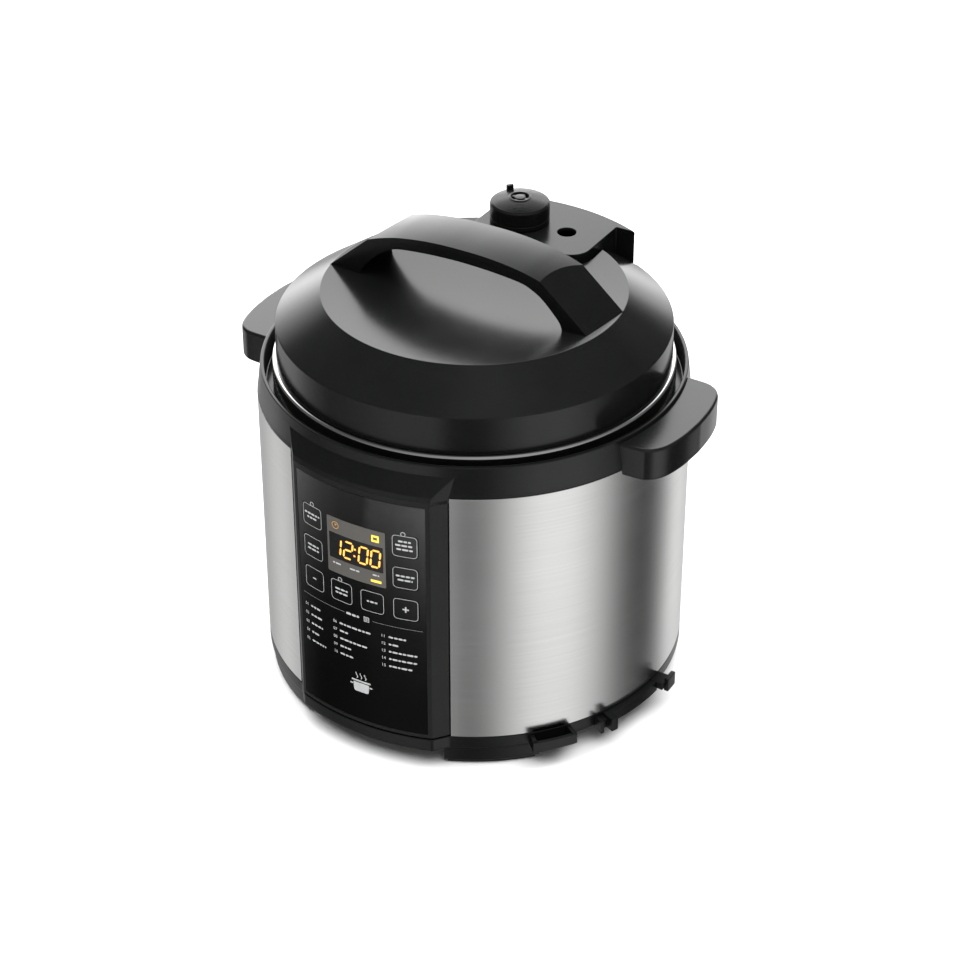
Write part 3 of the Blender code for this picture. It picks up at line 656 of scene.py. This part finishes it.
def print_on(name, loops, look, middle=0, height=0, out=0, thick=PRINT, body="root", slot=None):
    """Publish a thin plate that lies on the curved panel, or a little above it."""
    mark = wrap(plate(name, loops, thick), PANEL_R + out, middle, height)
    publish(mark, look, body=body, slot=slot)


def box_loop(half_width, half_height, radius, x=0, y=0):
    """Rounded rectangle about a point."""
    signs = (-1, -1), (1, -1), (1, 1), (-1, 1)
    loop = rounded([(half_width * a, half_height * b, radius) for a, b in signs], 6)
    return [(x + a, y + b) for a, b in loop]


def ring_loops(outer, inner, x=0, y=0, sides=28):
    """Two circles that bound a ring."""
    return [arc(radius, 0, 360 * (sides - 1) / sides, sides - 1, x, y) for radius in (outer, inner)]


def across(angle):
    """Distance round the panel from its middle line."""
    return radians(angle) * PANEL_R


def word_bars(x, y, width, height, seed):
    """A line of printed bars with round ends that stands for a label, from its left end."""
    chance = random.Random(seed)
    bars = []
    place = x
    while place < x + width - 0.9:
        length = min(chance.uniform(1.6, 4.2), x + width - place)
        bars.append(box_loop(length / 2, height / 2, height / 2.1, place + length / 2, y))
        place += length + 0.55
    return bars


def key_places():
    """Return each key's node, middle angle and middle height."""
    places = {}
    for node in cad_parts:
        if node.startswith("key_"):
            low, high = corners(node)
            angle = degrees(atan2(low.x + high.x, -(low.y + high.y)))
            places[node] = (angle, (low.z + high.z) / 2)
    return places


def add_panel_frame():
    """Frame round the panel, with the pocket that holds the overlay."""
    low, high = corners("panel_frame")
    outline = facet_outline(FRAME_R, 141.5)
    panel = prism("panel_surround", outline, low.z, high.z - 0.5)
    floor = PANEL_R - 1.5
    pocket = [
        (floor, PANEL_LOW - 0.3), (FRAME_R + 4, PANEL_LOW - 0.3), (FRAME_R + 4, PANEL_HIGH + 0.3),
        (floor, PANEL_HIGH + 0.3)]
    half = OVERLAY_HALF + 0.04
    carve(panel, turned("pocket", pocket, (-half, half), 40))
    publish(soften(panel, 0.35), "frame", "panel_frame")


def add_overlay(keys):
    """Glossy overlay, open at the keys and the window."""
    middle, gap = (PANEL_LOW + PANEL_HIGH) / 2, 0.3
    edge = box_loop(across(OVERLAY_HALF), (PANEL_HIGH - PANEL_LOW) / 2, 0.8)
    half_width, half_height = across(KEY_HALF) + gap, KEY_HEIGHT / 2 + gap
    loops = [edge] + [box_loop(half_width, half_height, 3.1, across(angle), height - middle)
                      for angle, height in keys.values()]
    half_height = (WINDOW_HIGH - WINDOW_LOW) / 2 + gap
    window_y = (WINDOW_LOW + WINDOW_HIGH) / 2 - middle
    loops.append(box_loop(across(WINDOW_HALF) + gap, half_height, 1.3, 0, window_y))
    overlay = wrap(plate("overlay", loops, 1.2, 0.1), PANEL_R - 1.2, height=middle)
    publish(overlay, "gloss", "panel_overlay")
    publish(wrap(plate("overlay_backing", [edge], 0.1), PANEL_R - 1.45, height=middle), "gloss")


def key_marks(node):
    """Return the printed marks of a key, about its middle."""
    half_width, half_height = across(KEY_HALF) - 0.25, KEY_HEIGHT / 2 - 0.25
    loops = [
        box_loop(half_width, half_height, 2.9),
        box_loop(half_width - LINE, half_height - LINE, 2.55)]
    labels = {
        "key_delay": ((-6.6, 1.4, 13.2), (-4.4, -1.6, 8.6)),
        "key_pressure": ((-5, 1.4, 10), (-5, -1.6, 10)),
        "key_manual": ((-5, 1.4, 10), (-4.8, -1.6, 9.4)),
        "key_menu": ((-3.8, 0, 7.6),),
        "key_warm": ((-4.2, 3.6, 8.4), (-6.2, 0.6, 12.4), (-5.4, -2.4, 10.8)),
        "key_time": ((-6.2, 1.4, 12.4), (-5, -1.6, 10)),
    }
    for number, (x, y, width) in enumerate(labels.get(node, ())):
        loops += word_bars(x, y, width, 1.3, f"{node}{number}")
    if node == "key_minus":
        loops.append(box_loop(1.5, 0.45, 0.1))
    if node == "key_plus":
        plus = [(-0.5, -2.1), (0.5, -2.1), (0.5, -0.5)]
        for _ in range(3):
            plus += [(-y, x) for x, y in plus[-3:]]
        loops.append(plus)
    return loops


def add_keys(keys):
    """Keys with printed outlines and marks, and the lamps of three of them."""
    for node, (angle, height) in keys.items():
        cap = plate(f"{node}_cap", [box_loop(across(KEY_HALF), KEY_HEIGHT / 2, 3)], 3.6, 0.15)
        # Key caps take the overlay's finish with its painted reflection.
        publish(wrap(cap, PANEL_R - 3.6, angle, height), "gloss", node, body=node)
        print_on(f"{node}_print", key_marks(node), "print", angle, height, -0.005, body=node)
    for node, angle in (("key_delay", -13.2), ("key_manual", -4.8), ("key_warm", 13)):
        top = keys[node][1] + KEY_HEIGHT / 2 + 1
        print_on(f"{node}_lamp_ring", ring_loops(1.65, 1.25), "print", angle, top, thick=0.05)
        print_on(f"{node}_lamp", ring_loops(1.25, 0.5)[:1], "lamp", angle, top, thick=0.06)


def segment_loops(x, y, width, height, lit_segments, thick):
    """Return a digit of seven slanted segments, from its lower left corner."""
    half = height / 2
    gap = 0.42
    ends = {"a": (0, 2, 1, 2), "b": (1, 1, 1, 2), "c": (1, 0, 1, 1), "d": (0, 0, 1, 0),
            "e": (0, 0, 0, 1), "f": (0, 1, 0, 2), "g": (0, 1, 1, 1)}
    loops = []
    for name in lit_segments:
        x0, y0, x1, y1 = ends[name]
        start, end = Vector((x0 * width, y0 * half)), Vector((x1 * width, y1 * half))
        along = (end - start).normalized()
        side = Vector((-along.y, along.x)) * thick / 2
        start, end = start + along * gap, end - along * gap
        first, last = start + along * thick / 2, end - along * thick / 2
        shape = (start, first + side, last + side, end, last - side, first - side)
        loops.append([(x + p.x + SLANT * p.y, y + p.y) for p in shape])
    return loops


def clock_loops(thick):
    """Return the four digits and the colon of the clock."""
    digits = {"1": "bc", "2": "abged", "0": "abcdef"}
    width, height = 6.1, 12.4
    loops = []
    for x, digit in ((-18.4, "1"), (-9.6, "2"), (1.6, "0"), (10.2, "0")):
        loops += segment_loops(x, -height / 2, width, height, digits[digit], thick)
    for y in (-2.6, 2.6):
        loops.append(box_loop(thick / 2, thick / 2, 0.3, -1 + SLANT * y, y))
    return loops


def add_window():
    """Display window: grey bezel, black screen, lit clock and small symbols."""
    middle, tall = (WINDOW_LOW + WINDOW_HIGH) / 2, WINDOW_HIGH - WINDOW_LOW
    bezel = plate("window_bezel", [box_loop(across(WINDOW_HALF), tall / 2, 1)], 1.2, 0.1)
    publish(wrap(bezel, PANEL_R - 1.2, height=middle), "bezel", "display_window")
    screen_z = RIM - 70.5
    print_on("window_screen", [box_loop(across(7.7), 9.6, 0.5)], "screen", 0, screen_z, -0.01, 0.05)
    print_on("clock_halo", clock_loops(1.7), "amber_glow", 0.3, screen_z, 0.045, 0.03)
    print_on("clock_digits", clock_loops(1), "amber", 0.3, screen_z, 0.08, 0.03)
    hands = [(-0.2, -0.2), (0.2, -0.2), (1.3, 0.7), (1, 1.05), (0.2, 0.35), (0.2, 1.7), (-0.2, 1.7)]
    print_on("clock_symbol", ring_loops(2.7, 2.25) + [hands], "amber_dim", -5.7, RIM - 54.8)
    lock = [box_loop(2.6, 2.5, 0.4), box_loop(1.5, 1, 0.3)]
    print_on("lock_symbol", lock, "yellow", 5.7, RIM - 55.3)
    labels = []
    for angle, height, width in ((-5.5, 83.6, 6.6), (-0.2, 83.9, 7.6), (5.7, 83, 4.6)):
        left = across(angle) - width / 2
        labels += word_bars(left, RIM - height - middle, width, 1.1, f"level{angle}")
    print_on("level_labels", labels, "print", height=middle, slot="smoked_window")
    print_on("level_bar", [box_loop(3.7, 0.9, 0.25)], "yellow", 5.7, RIM - 87.6)


def numeral_mesh(text, size):
    """Return the mesh of flat numerals in Blender's own font."""
    curve = bpy.data.curves.new("numerals", "FONT")
    curve.body = text
    curve.size = size
    curve.extrude = PRINT / 2
    curve.resolution_u = 3
    return curve_mesh(curve)


def add_programme_list():
    """Three columns of numbered lines, with the rules and a small symbol above them."""
    columns = (
        (-17.2, 128, 6.9, 1, (8.6, 11, 10.4, 7.8, 12.6)),
        (-7.5, 130, 6, 6, (25, 7.4, 21, 8.6, 10)),
        (6.6, 128.5, 5.75, 11, (12, 7.4, 20, 19, 17)),
    )
    bars = []
    numerals = bmesh.new()
    for angle, drop, pitch, first, widths in columns:
        for line, width in enumerate(widths):
            height = RIM - drop - line * pitch
            bars += word_bars(across(angle) + 5.4, height, width, 1.35, f"line{first + line}")
            mesh = numeral_mesh(f"{first + line:02d}", 3.2)
            mesh.transform(Matrix.Translation((across(angle), height - 1.1, PRINT / 2)))
            numerals.from_mesh(mesh)
    menu = RIM - 119.6
    rules = [box_loop(across(half), 0.11, 0.05, across(middle), menu)
             for half, middle in ((6.6, 11), (7, -10.7))]
    print_on("panel_rules", rules, "print_dim")
    bars += word_bars(across(-3.2), menu, 9.8, 1.7, "menu")
    symbol = [(1.9, 1.9, 0.3, 0), (1.45, 1.45, 0.2, 0)]
    symbol += [(0.9, 0.22, 0.05, y) for y in (-0.75, 0, 0.75)]
    bars += [box_loop(*sizes, across(2.7), menu + y) for *sizes, y in symbol]
    print_on("panel_lines", bars, "print")
    publish(wrap(make_object("panel_numerals", numerals), PANEL_R), "print")


def add_pot_symbol():
    """A plain cooking pot with steam, low on the panel."""
    x, y = across(0.6), RIM - 174
    pot = [(-6, 1.6, 0.3), (-5.5, -5.6, 1.8), (5.5, -5.6, 1.8), (6, 1.6, 0.3)]
    loops = [[(x + a, y + b) for a, b in rounded(pot)], box_loop(7.2, 0.6, 0.55, x, y + 3)]
    loops += [box_loop(1.1, 0.55, 0.5, x + side * 7.3, y - 0.2) for side in (-1, 1)]
    for offset in (-3.2, 0, 3.2):
        wave = [(offset + 0.6 * sin(i * 0.9), 4.9 + i * 0.75) for i in range(7)]
        loops.append([(x + a - 0.3, y + b) for a, b in wave]
                     + [(x + a + 0.3, y + b) for a, b in reversed(wave)])
    print_on("pot_symbol", loops, "print")


def add_panel():
    """Everything on the control panel."""
    keys = key_places()
    add_panel_frame()
    add_overlay(keys)
    add_keys(keys)
    add_window()
    add_programme_list()
    add_pot_symbol()


# ---- lid

def platform_outline(extra=0):
    """Outline of the valve platform's lower part, grown outwards by an amount."""
    half, front, corner = PLATFORM_HALF + extra, 62 - extra, 14 + extra
    back = PLATFORM_BACK_R + 2 * extra
    reach = degrees(asin(half / back))
    right = arc(corner, -90, 0, 10, half - corner, front + corner)
    left = arc(corner, 180, 270, 10, corner - half, front + corner)
    return right + arc(back, 90 - reach, 90 + reach, 28) + left


def platform_top_outline():
    """Outline of the platform's top, whose back rim ends in a wedge on the right."""
    left = degrees(asin(PLATFORM_HALF / WING_R))
    right = degrees(asin(WING_TIP / WING_R))
    front_right = arc(14, -90, 0, 10, PLATFORM_HALF - 14, 76) + [(PLATFORM_HALF, WING_FRONT)]
    front_left = arc(14, 180, 270, 10, 14 - PLATFORM_HALF, 76)
    return front_right + arc(WING_R, 90 - right, 90 + left, 32) + front_left


def dish(radius):
    """Height of the lid cover's shallow dish above the rim."""
    return DISH_LOW + (CONE_HIGH[1] - DISH_LOW) * (radius / CONE_HIGH[0]) ** 2


def add_lid_cover():
    """Plastic lid cover: skirt, cone and dish, open at the back round the valve platform."""
    edge = [(SKIRT_R - 0.8, 3, 0.5), (*CONE_LOW, 1.6), (*CONE_HIGH, 0.9)]
    top = [(r, dish(r)) for r in (92, 84, 75, 65, 54, 42, 29, 15, 0)]
    under = [(0, 43.7), (66, 44.8), (98, 46, 2), (126.6, 27.2, 2), (128, 3)]
    cover = turned("lid_top", rounded(edge + top + under, up=RIM))
    floor = RIM + CONE_LOW[1] - 1.1
    carve(cover, prism("cutout", platform_outline(SLIT), floor, RIM + 80))
    side, front, tip = PLATFORM_HALF + SLIT, WING_FRONT - SLIT, WING_TIP + 2.2
    space = [(-side, 100), (side, 100), (side, front), (tip, front), (tip + 2, 134), (-side, 134)]
    carve(cover, prism("wing_cutout", space, floor, RIM + 80))
    soften(cover, 0.35, 2, 40)
    publish(cover, "lid", "lid_cover", body="lid")
    section = [(128, RIM + 16), (132.2, RIM + 16.5), (131.6, RIM + 24), (128, RIM + 24)]
    publish(soften(turned("lid_stop", section, (152.3, 155.3), 6), 0.8), "satin", body="lid")


def add_lid_handle():
    """Arched handle with a crowned top and a flat slope cut across each end."""
    arch = smooth_line([
        (0, HANDLE_TOP - RIM), (14, 86.3), (29, 85.2), (44, 83), (54, 80.6), (64, 77.4), (76, 72.6),
        (99, 62)])
    under = smooth_line([
        (75, 46.5), (73, 52.5), (66, 60.5), (59, 66.9), (51, 71.4), (44, 73.5), (29, 75.2),
        (15, 76.1), (0, 76.5)])
    top = [(-x, z) for x, z in reversed(arch[1:])] + arch
    low = [(99, 46.5)] + under + [(-x, z) for x, z in reversed(under[:-1])] + [(-99, 46.5)]
    rows = []
    for step in range(13):
        y = mix(-HANDLE_HALF, HANDLE_HALF, step / 12)
        fall = HANDLE_CROWN * (y / HANDLE_HALF) ** 2
        rows.append([(x, y, RIM + z - fall) for x, z in top] + [(x, y, RIM + z) for x, z in low])
    handle = loft("lid_grip", rows)
    ends = [(-96.6, RIM + 46.6), (96.6, RIM + 46.6), (45, RIM + 91.8), (-45, RIM + 91.8)]
    slopes = prism("slopes", ends, -60, 60, "Y")
    slopes.data.transform(Matrix.Rotation(radians(SLOPE_TURN), 4, "Z"))
    carve(handle, slopes, "INTERSECT")
    soften(handle, 1.5, 4, 22)
    publish(handle, "deck", "lid_handle", body="lid")


def add_platform():
    """Valve platform with its wedge, and the openings for the vent and the float."""
    deck = prism("valve_platform", platform_top_outline(), RIM + 28, PLATFORM_TOP)
    walls = prism("platform_walls", platform_outline(), RIM + 17, RIM + 28.2)
    for piece in (deck, walls):
        carve(piece, prism("hollow", platform_outline(-2.5), RIM, PLATFORM_TOP - 2.5))
    for (x, y), radius in ((VENT, 6.2), (FLOAT, 6.3)):
        carve(deck, prism("hole", arc(radius, 0, 352.5, 47, x, y), RIM + 40, PLATFORM_TOP + 5))
    publish(soften(deck, 0.6, 3, 40), "deck", "valve_housing", body="lid")
    publish(soften(walls, 0.3, 2, 40), "deck", body="lid")


def knob_section():
    """Section of the knob's cap: ridged dome, a raised ring round the vents and a grooved skirt."""
    low = PLATFORM_TOP + 0.5 - RIM
    radius, top, shoulder = 20.2, 70.4, 66.8

    def crown(r):
        return top - (top - shoulder) * (r / radius) ** 2

    outer = [
        (radius, low, 0.6), (radius, 56.6, 0.2), (radius - 0.4, 56.9), (radius - 0.4, 57.4),
        (radius, 57.7, 0.2), (radius, shoulder - 0.5, 0.8)]
    for ridge in range(8):
        r = 19.2 - 1.45 * ridge
        outer += [
            (r, crown(r)), (r - 0.15, crown(r) - 0.32), (r - 0.45, crown(r) - 0.32),
            (r - 0.6, crown(r - 0.6))]
    outer += [
        (7.6, crown(7.6)), (7.3, top + 0.2, 0.2), (6.3, top + 0.2, 0.2), (6.1, top - 0.6),
        (3.8, top - 0.6), (3.5, top - 0.1, 0.3), (0, top)]
    inner = [(0, 66.6), (9.5, 66.6), (16, 64.5), (16.6, low)]
    return rounded(outer + inner, 3, RIM)


def add_knob():
    """Pressure knob with four vents and a small tab."""
    knob = turned("knob_cap", knob_section(), steps=96, centre=VENT)
    x, y = VENT
    for number in range(4):
        middle = 45 + 90 * number
        vent = arc(6, middle - 32, middle + 32, 10, x, y)
        vent += arc(3.9, middle + 32, middle - 32, 10, x, y)
        carve(knob, prism("knob_vent", vent, RIM + 58, RIM + 80))
    publish(knob, "knob", "pressure_knob", body="knob")
    away = Vector((-0.81, 0.59))
    side = Vector((-away.y, away.x))
    middle = Vector(VENT) + away * 16.2
    shape = [(-2.4, -1.2, 0.6), (2.4, -1.2, 0.6), (2.4, 1.2, 0.6), (-2.4, 1.2, 0.6)]
    outline = [tuple(middle + side * a + away * b) for a, b in rounded(shape)]
    tab = soften(prism("knob_pointer", outline, RIM + 66, RIM + 71.9), 1)
    publish(tab, "knob", body="knob")


def near_lug(angle, first):
    """Say whether an angle is on one of the bayonet's evenly spaced lugs."""
    pitch = 360 / LUGS
    return abs((angle - first + pitch / 2) % pitch - pitch / 2) < LUG_HALF


def lug_rows(first):
    """Return the angles just inside and just outside every lug's two edges."""
    return [(first + number * 360 / LUGS + side * LUG_HALF + step) % 360
            for number in range(LUGS) for side in (-1, 1) for step in (-0.05, 0.05)]


def lid_steel_section(angle):
    """Section of the steel lid: dish, bright rolled edge and a skirt with inward teeth."""
    inner = LID_R - 1.5
    tooth = 121.6 if near_lug(angle, 0) else inner
    return rounded([
        (0, 14.8), (123.2, 13.8, 1.5), (126.4, 2.7, 1), (LID_R, 2.7, 2.2),
        (LID_R, -11, 0.5), (tooth, -11), (tooth, -8.5), (inner, -8), (inner, 1.2),
        (125.4, 1.2), (122.5, 12), (0, 13),
    ], up=RIM)


def outer_pot_section(angle):
    """Section of the outer pot, whose flange grows into lugs."""
    flange = 128.5 if near_lug(angle, 180 / LUGS) else 121
    return rounded([
        (6, 52.4), (112, 52.4, 4), (118.2, 58.4, 4), (118.2, RIM - 7.5), (flange, RIM - 7.5, 0.5),
        (flange, RIM - 4, 0.5), (117, RIM - 4, 0.5), (117, 59, 3), (111.5, 53.6, 3), (6, 53.6),
    ])


def add_turned_parts():
    """Pots, lid steel and the smaller turned pieces, each in place of its CAD node."""
    rim = RIM - 3.7
    parts = (
        ("steel_lid", "steel", "lid", "lid_shell", lid_steel_section, lug_rows(0)),
        ("pot_outer", "aluminium", "root", "outer_pot", outer_pot_section, lug_rows(180 / LUGS)),
        ("pot_inner", "non_stick", "pot", "inner_pot", [
            (0, 70.7), (93, 70.7, 12), (107.5, 76, 12), (113.5, 90, 12), (113.5, rim),
            (120, rim, 0.7), (120, rim + 1.6, 0.7), (112, rim + 1.6, 1.2), (112, 90.3, 12),
            (106.4, 77.2, 11), (92.6, 72.2, 11), (0, 72.2)]),
        ("gasket_holder", "steel", "lid", "gasket_rack", [
            (110, 229.5, 0.4), (112.8, 229.5, 0.5), (112.8, 241.7, 0.4), (111.4, 241.7, 0.4),
            (111.4, 230.9), (110, 230.9, 0.4)]),
        ("lid_gasket", "silicone", "seal", "sealing_ring", [
            (113.3, 228.2, 0.6), (123, 228.2, 1.2), (123.5, 230.5), (123, 236, 1),
            (120.5, 236, 0.8), (120, 231, 1), (113.3, 230, 0.6)]),
        ("heater_disc", "aluminium", "root", "heating_plate", [
            (13, 60), (52, 60), (55, 56, 1), (69, 56, 1), (72, 60), (84, 62, 1), (84, 70.4, 1.5),
            (13, 70.4, 0.8)]),
        ("sensor_head", "aluminium", "sensor", "temperature_sensor", [
            (0, 40), (4, 40, 0.5), (4, 62), (11.5, 62, 0.5), (12, 70.4, 1.2), (0, 70.4)]),
        ("vent_tube", "steel", "lid", "vent_pipe", [
            (1.5, 233), (5, 233, 0.4), (5, 291, 1), (3.6, 294.3, 0.5), (1.5, 294.3)], (), VENT),
        ("float_pin", "steel", "float", "float_valve", [
            (0, 230.5), (6.4, 230.5, 0.5), (6.4, 233, 0.5), (3.6, 233), (3.6, 277, 1.2),
            (0, 277)], (), FLOAT),
        ("float_washer", "silicone", "lid", "float_gasket", [
            (4.3, 239.4, 0.3), (7.5, 239.4, 0.8), (7.5, 241.6, 0.8), (4.3, 241.6, 0.3)], (), FLOAT),
        ("vent_weight", "steel", "weight", "valve_weight", [
            (5.5, 284.5), (14.5, 284.5, 0.6), (14.5, 291.5, 1.5), (9, 293.5, 1),
            (5.5, 293.5)], (), VENT),
    )
    for name, look, body, node, section, *place in parts:
        section = section if callable(section) else rounded(section)
        steps = SMALL_ROUND if len(place) > 1 else ROUND
        publish(turned(name, section, (0, 360), steps, *place), look, node, body=body)


def add_spring():
    """Coil spring below the sensor's head."""
    wire, coil, turns, steps = 0.7, 7, 3, 108
    low, high = (corner.z for corner in corners("sensor_spring"))
    rows = []
    for step in range(steps + 1):
        turn = 360 * turns * step / steps
        middle = mix(low + wire, high - wire, step / steps)
        rows.append([polar(radius, turn, z) for radius, z in arc(wire, 0, 324, 9, coil, middle)])
    spring = publish(loft("coil_spring", rows), "steel", "sensor_spring")
    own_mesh(spring)


# ---- back

def add_cup():
    """Milky condensate cup with rounded corners and a rim, and its holder."""
    low, high = corners("condensate_cup")
    middle, half_x, half_y = (low.y + high.y) / 2, (high.x - low.x) / 2, (high.y - low.y) / 2
    cup = prism("cup_body", box_loop(half_x, half_y, 4, 0, middle), low.z, high.z)
    soften(cup, 1.6, 3, 40)
    space = box_loop(half_x - 2, half_y - 2, 2.6, 0, middle)
    carve(cup, prism("cup_space", space, low.z + 2, high.z + 5))
    publish(cup, "clear", "condensate_cup", body="cup")
    low, high = corners("cup_holder")
    inner, outer, back, front = high.x - 2, high.x, low.y, high.y
    channel = [
        (-outer, back), (outer, back), (outer, front, 1.5), (inner, front), (inner, back + 1.6),
        (-inner, back + 1.6), (-inner, front), (-outer, front, 1.5)]
    holder = prism("cup_channel", rounded(channel), low.z, high.z)
    publish(soften(holder, 0.4), "satin", "cup_holder")
    shelf = [(-inner, back + 1), (inner, back + 1), (inner, front, 1.5), (-inner, front, 1.5)]
    publish(soften(prism("cup_shelf", rounded(shelf), low.z, low.z + 2), 0.4), "satin")


def add_inlet():
    """Mains inlet with rounded corners and a hollow for the connector."""
    low, high = corners("inlet_socket")
    middle = (low.z + high.z) / 2
    half_x, half_z = (high.x - low.x) / 2, (high.z - low.z) / 2
    shell = prism("mains_inlet", box_loop(half_x, half_z, 2.2, 0, middle), low.y, high.y, "Y")
    soften(shell, 0.7, 3, 40)
    mouth = rounded([
        (-13.5, 29.5, 1), (13.5, 29.5, 1), (13.5, 43, 1), (8, 49, 1), (-8, 49, 1), (-13.5, 43, 1)])
    carve(shell, prism("mouth", mouth, 128.5, 150, "Y"))
    publish(shell, "base", "inlet_socket")


def finish_kept_nodes():
    """Give every CAD node that still shows its slot's first finish."""
    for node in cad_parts.values():
        if node.hide_render:
            continue
        for entry in node.material_slots:
            slot = entry.material.name.split(".")[0] if entry.material else "black_plastic"
            entry.material = finish[SLOTS[slot][0]]


# ---- stage

def add_camera():
    """Camera above the front right corner, aimed a little below the rim."""
    turn, rise = radians(CAMERA_AROUND), radians(CAMERA_ABOVE)
    back = Vector((sin(turn) * cos(rise), -cos(turn) * cos(rise), sin(rise)))
    rim = Vector((0, AXIS_Y, RIM * MM))
    right = Vector((cos(turn), sin(turn), 0))
    up = back.cross(right)
    data = bpy.data.cameras.new("camera")
    data.lens = CAMERA_LENS
    camera = add_object("camera", data)
    camera.location = rim + back * CAMERA_AWAY
    aim = (-back + right * AIM_RIGHT + up * AIM_UP).normalized()
    camera.rotation_euler = aim.to_track_quat("-Z", "Y").to_euler()
    scene.camera = camera


def add_overhead():
    """Add a wide soft lamp over the pot, which only the matt surfaces see."""
    data = bpy.data.lights.new("overhead", "AREA")
    data.size = OVERHEAD_SIZE
    data.energy = OVERHEAD_POWER
    lamp = add_object("overhead", data)
    lamp.location = (0, 0, OVERHEAD_HIGH)
    lamp.visible_glossy = False


def ramp(tree, value, stops):
    """Return grey levels that follow a value, from stops of (place, level)."""
    node = add_node(tree, "ValToRGB", {"Fac": value})
    elements = node.color_ramp.elements
    for place, level in stops[1:-1]:
        elements.new(place).color = (level, level, level, 1)
    for element, (place, level) in ((elements[0], stops[0]), (elements[-1], stops[-1])):
        element.position = place
        element.color = (level, level, level, 1)
    return node.outputs["Color"]


def add_world():
    """Studio round the pot: a softbox behind, dim walls above, bright and dark cards below."""
    world = bpy.data.worlds.new("studio")
    scene.world = world
    world.use_nodes = True
    tree = world.node_tree
    split = add_node(tree, "SeparateXYZ", {0: add_node(tree, "TexCoord").outputs["Generated"]})
    x, y, z = split.outputs
    turn = combine(tree, x, combine(tree, y, -1, "MULTIPLY"), "ARCTAN2")

    def around(*stops):
        share = spread(tree, turn, 0, 1, -pi, pi)
        return ramp(tree, share, [(0.5 + angle / 360, level) for angle, level in stops])

    def rising(*stops):
        share = spread(tree, z, 0, 1, -1, 1)
        return ramp(tree, share, [(0.5 + sin(radians(angle)) / 2, level) for angle, level in stops])

    def blend(first, second, operation="MULTIPLY"):
        return combine(tree, first, second, operation, "VectorMath")

    cards = around(
        (-180, 0.78), (-150, 0.62), (-122, 0.42), (-95, 0.82), (-76, 0.42), (-60, 0.14),
        (-38, 0.35), (-15, 0.62), (8, 0.68), (17, 0.15), (28, 0.09), (37, 0.18), (50, 0.62),
        (62, 1), (84, 1), (100, 0.58), (115, 0.12), (128, 0.03), (142, 0.05), (154, 0.42),
        (163, 0.95), (180, 0.90))
    walls = around(
        (-180, 0.10), (-45, 0.09), (-15, 0.20), (30, 0.34), (75, 0.34), (115, 0.18), (150, 0.08),
        (180, 0.10))
    softbox = around(
        (-180, 0.42), (-172, 0.62), (-163, 0.84), (-145, 1), (-124, 0.85), (-104, 0), (158, 0),
        (172, 0.20), (180, 0.42))
    lower = blend(cards, rising((-90, 0.35), (-50, 0.6), (-36, 1), (-12, 1), (-2, 0)))
    upper = blend(walls, rising((-12, 0), (-2, 1)))
    tall = rising((-14, 0), (-3, 1), (22, 1), (30, 0.88), (38, 0.70), (50, 0.50), (60, 0))
    box = blend(softbox, tall)
    flag = blend(around((-180, 0), (138, 0), (146, 1), (172, 1), (180, 0.3)),
                 rising((-20, 0), (-10, 1), (24, 1), (40, 0)))
    box = blend(box, blend((1, 1, 1), flag, "SUBTRACT"))
    total = blend(blend(blend(box, (SOFTBOX,) * 3), upper, "ADD"), lower, "ADD")
    tree.links.new(total, tree.nodes["Background"].inputs["Color"])


def floor_material():
    """Matt pale floor that glows towards the horizon, where the lamp is too weak."""
    made, tree, shader = start_material(
        "floor_pale", base_color=(0.86, 0.86, 0.86, 1), roughness=0.9, specular_ior_level=0,
        emission_color=(1, 1, 1, 1))
    place = add_node(tree, "TexCoord").outputs["Object"]
    away = add_node(tree, "VectorMath", {0: place}, operation="LENGTH").outputs["Value"]
    shade(shader, emission_strength=spread(tree, away, 0, 0.95, 1.2, 4.5))
    return made


def add_stage():
    """Pale floor, lamps and surroundings."""
    bm = bmesh.new()
    bmesh.ops.create_grid(bm, x_segments=8, y_segments=8, size=20)
    mesh = bpy.data.meshes.new("floor")
    bm.to_mesh(mesh)
    bm.free()
    mesh.materials.append(floor_material())
    floor = add_object("floor", mesh)
    floor.visible_glossy = False
    add_overhead()
    add_world()
    scene.view_settings.view_transform = "Standard"


def write_sizes():
    """Bring the view layer up to date."""
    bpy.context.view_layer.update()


def main():
    """Build the finished cooker and the stage it stands on."""
    add_camera()
    finish.update(make_materials())
    steps = (
        add_base, add_sleeve, add_collar, add_side_handles, add_panel, add_lid_cover,
        add_lid_handle, add_platform, add_knob, add_turned_parts, add_spring, add_cup, add_inlet,
        finish_kept_nodes, add_stage, write_sizes)
    for step in steps:
        step()


main()
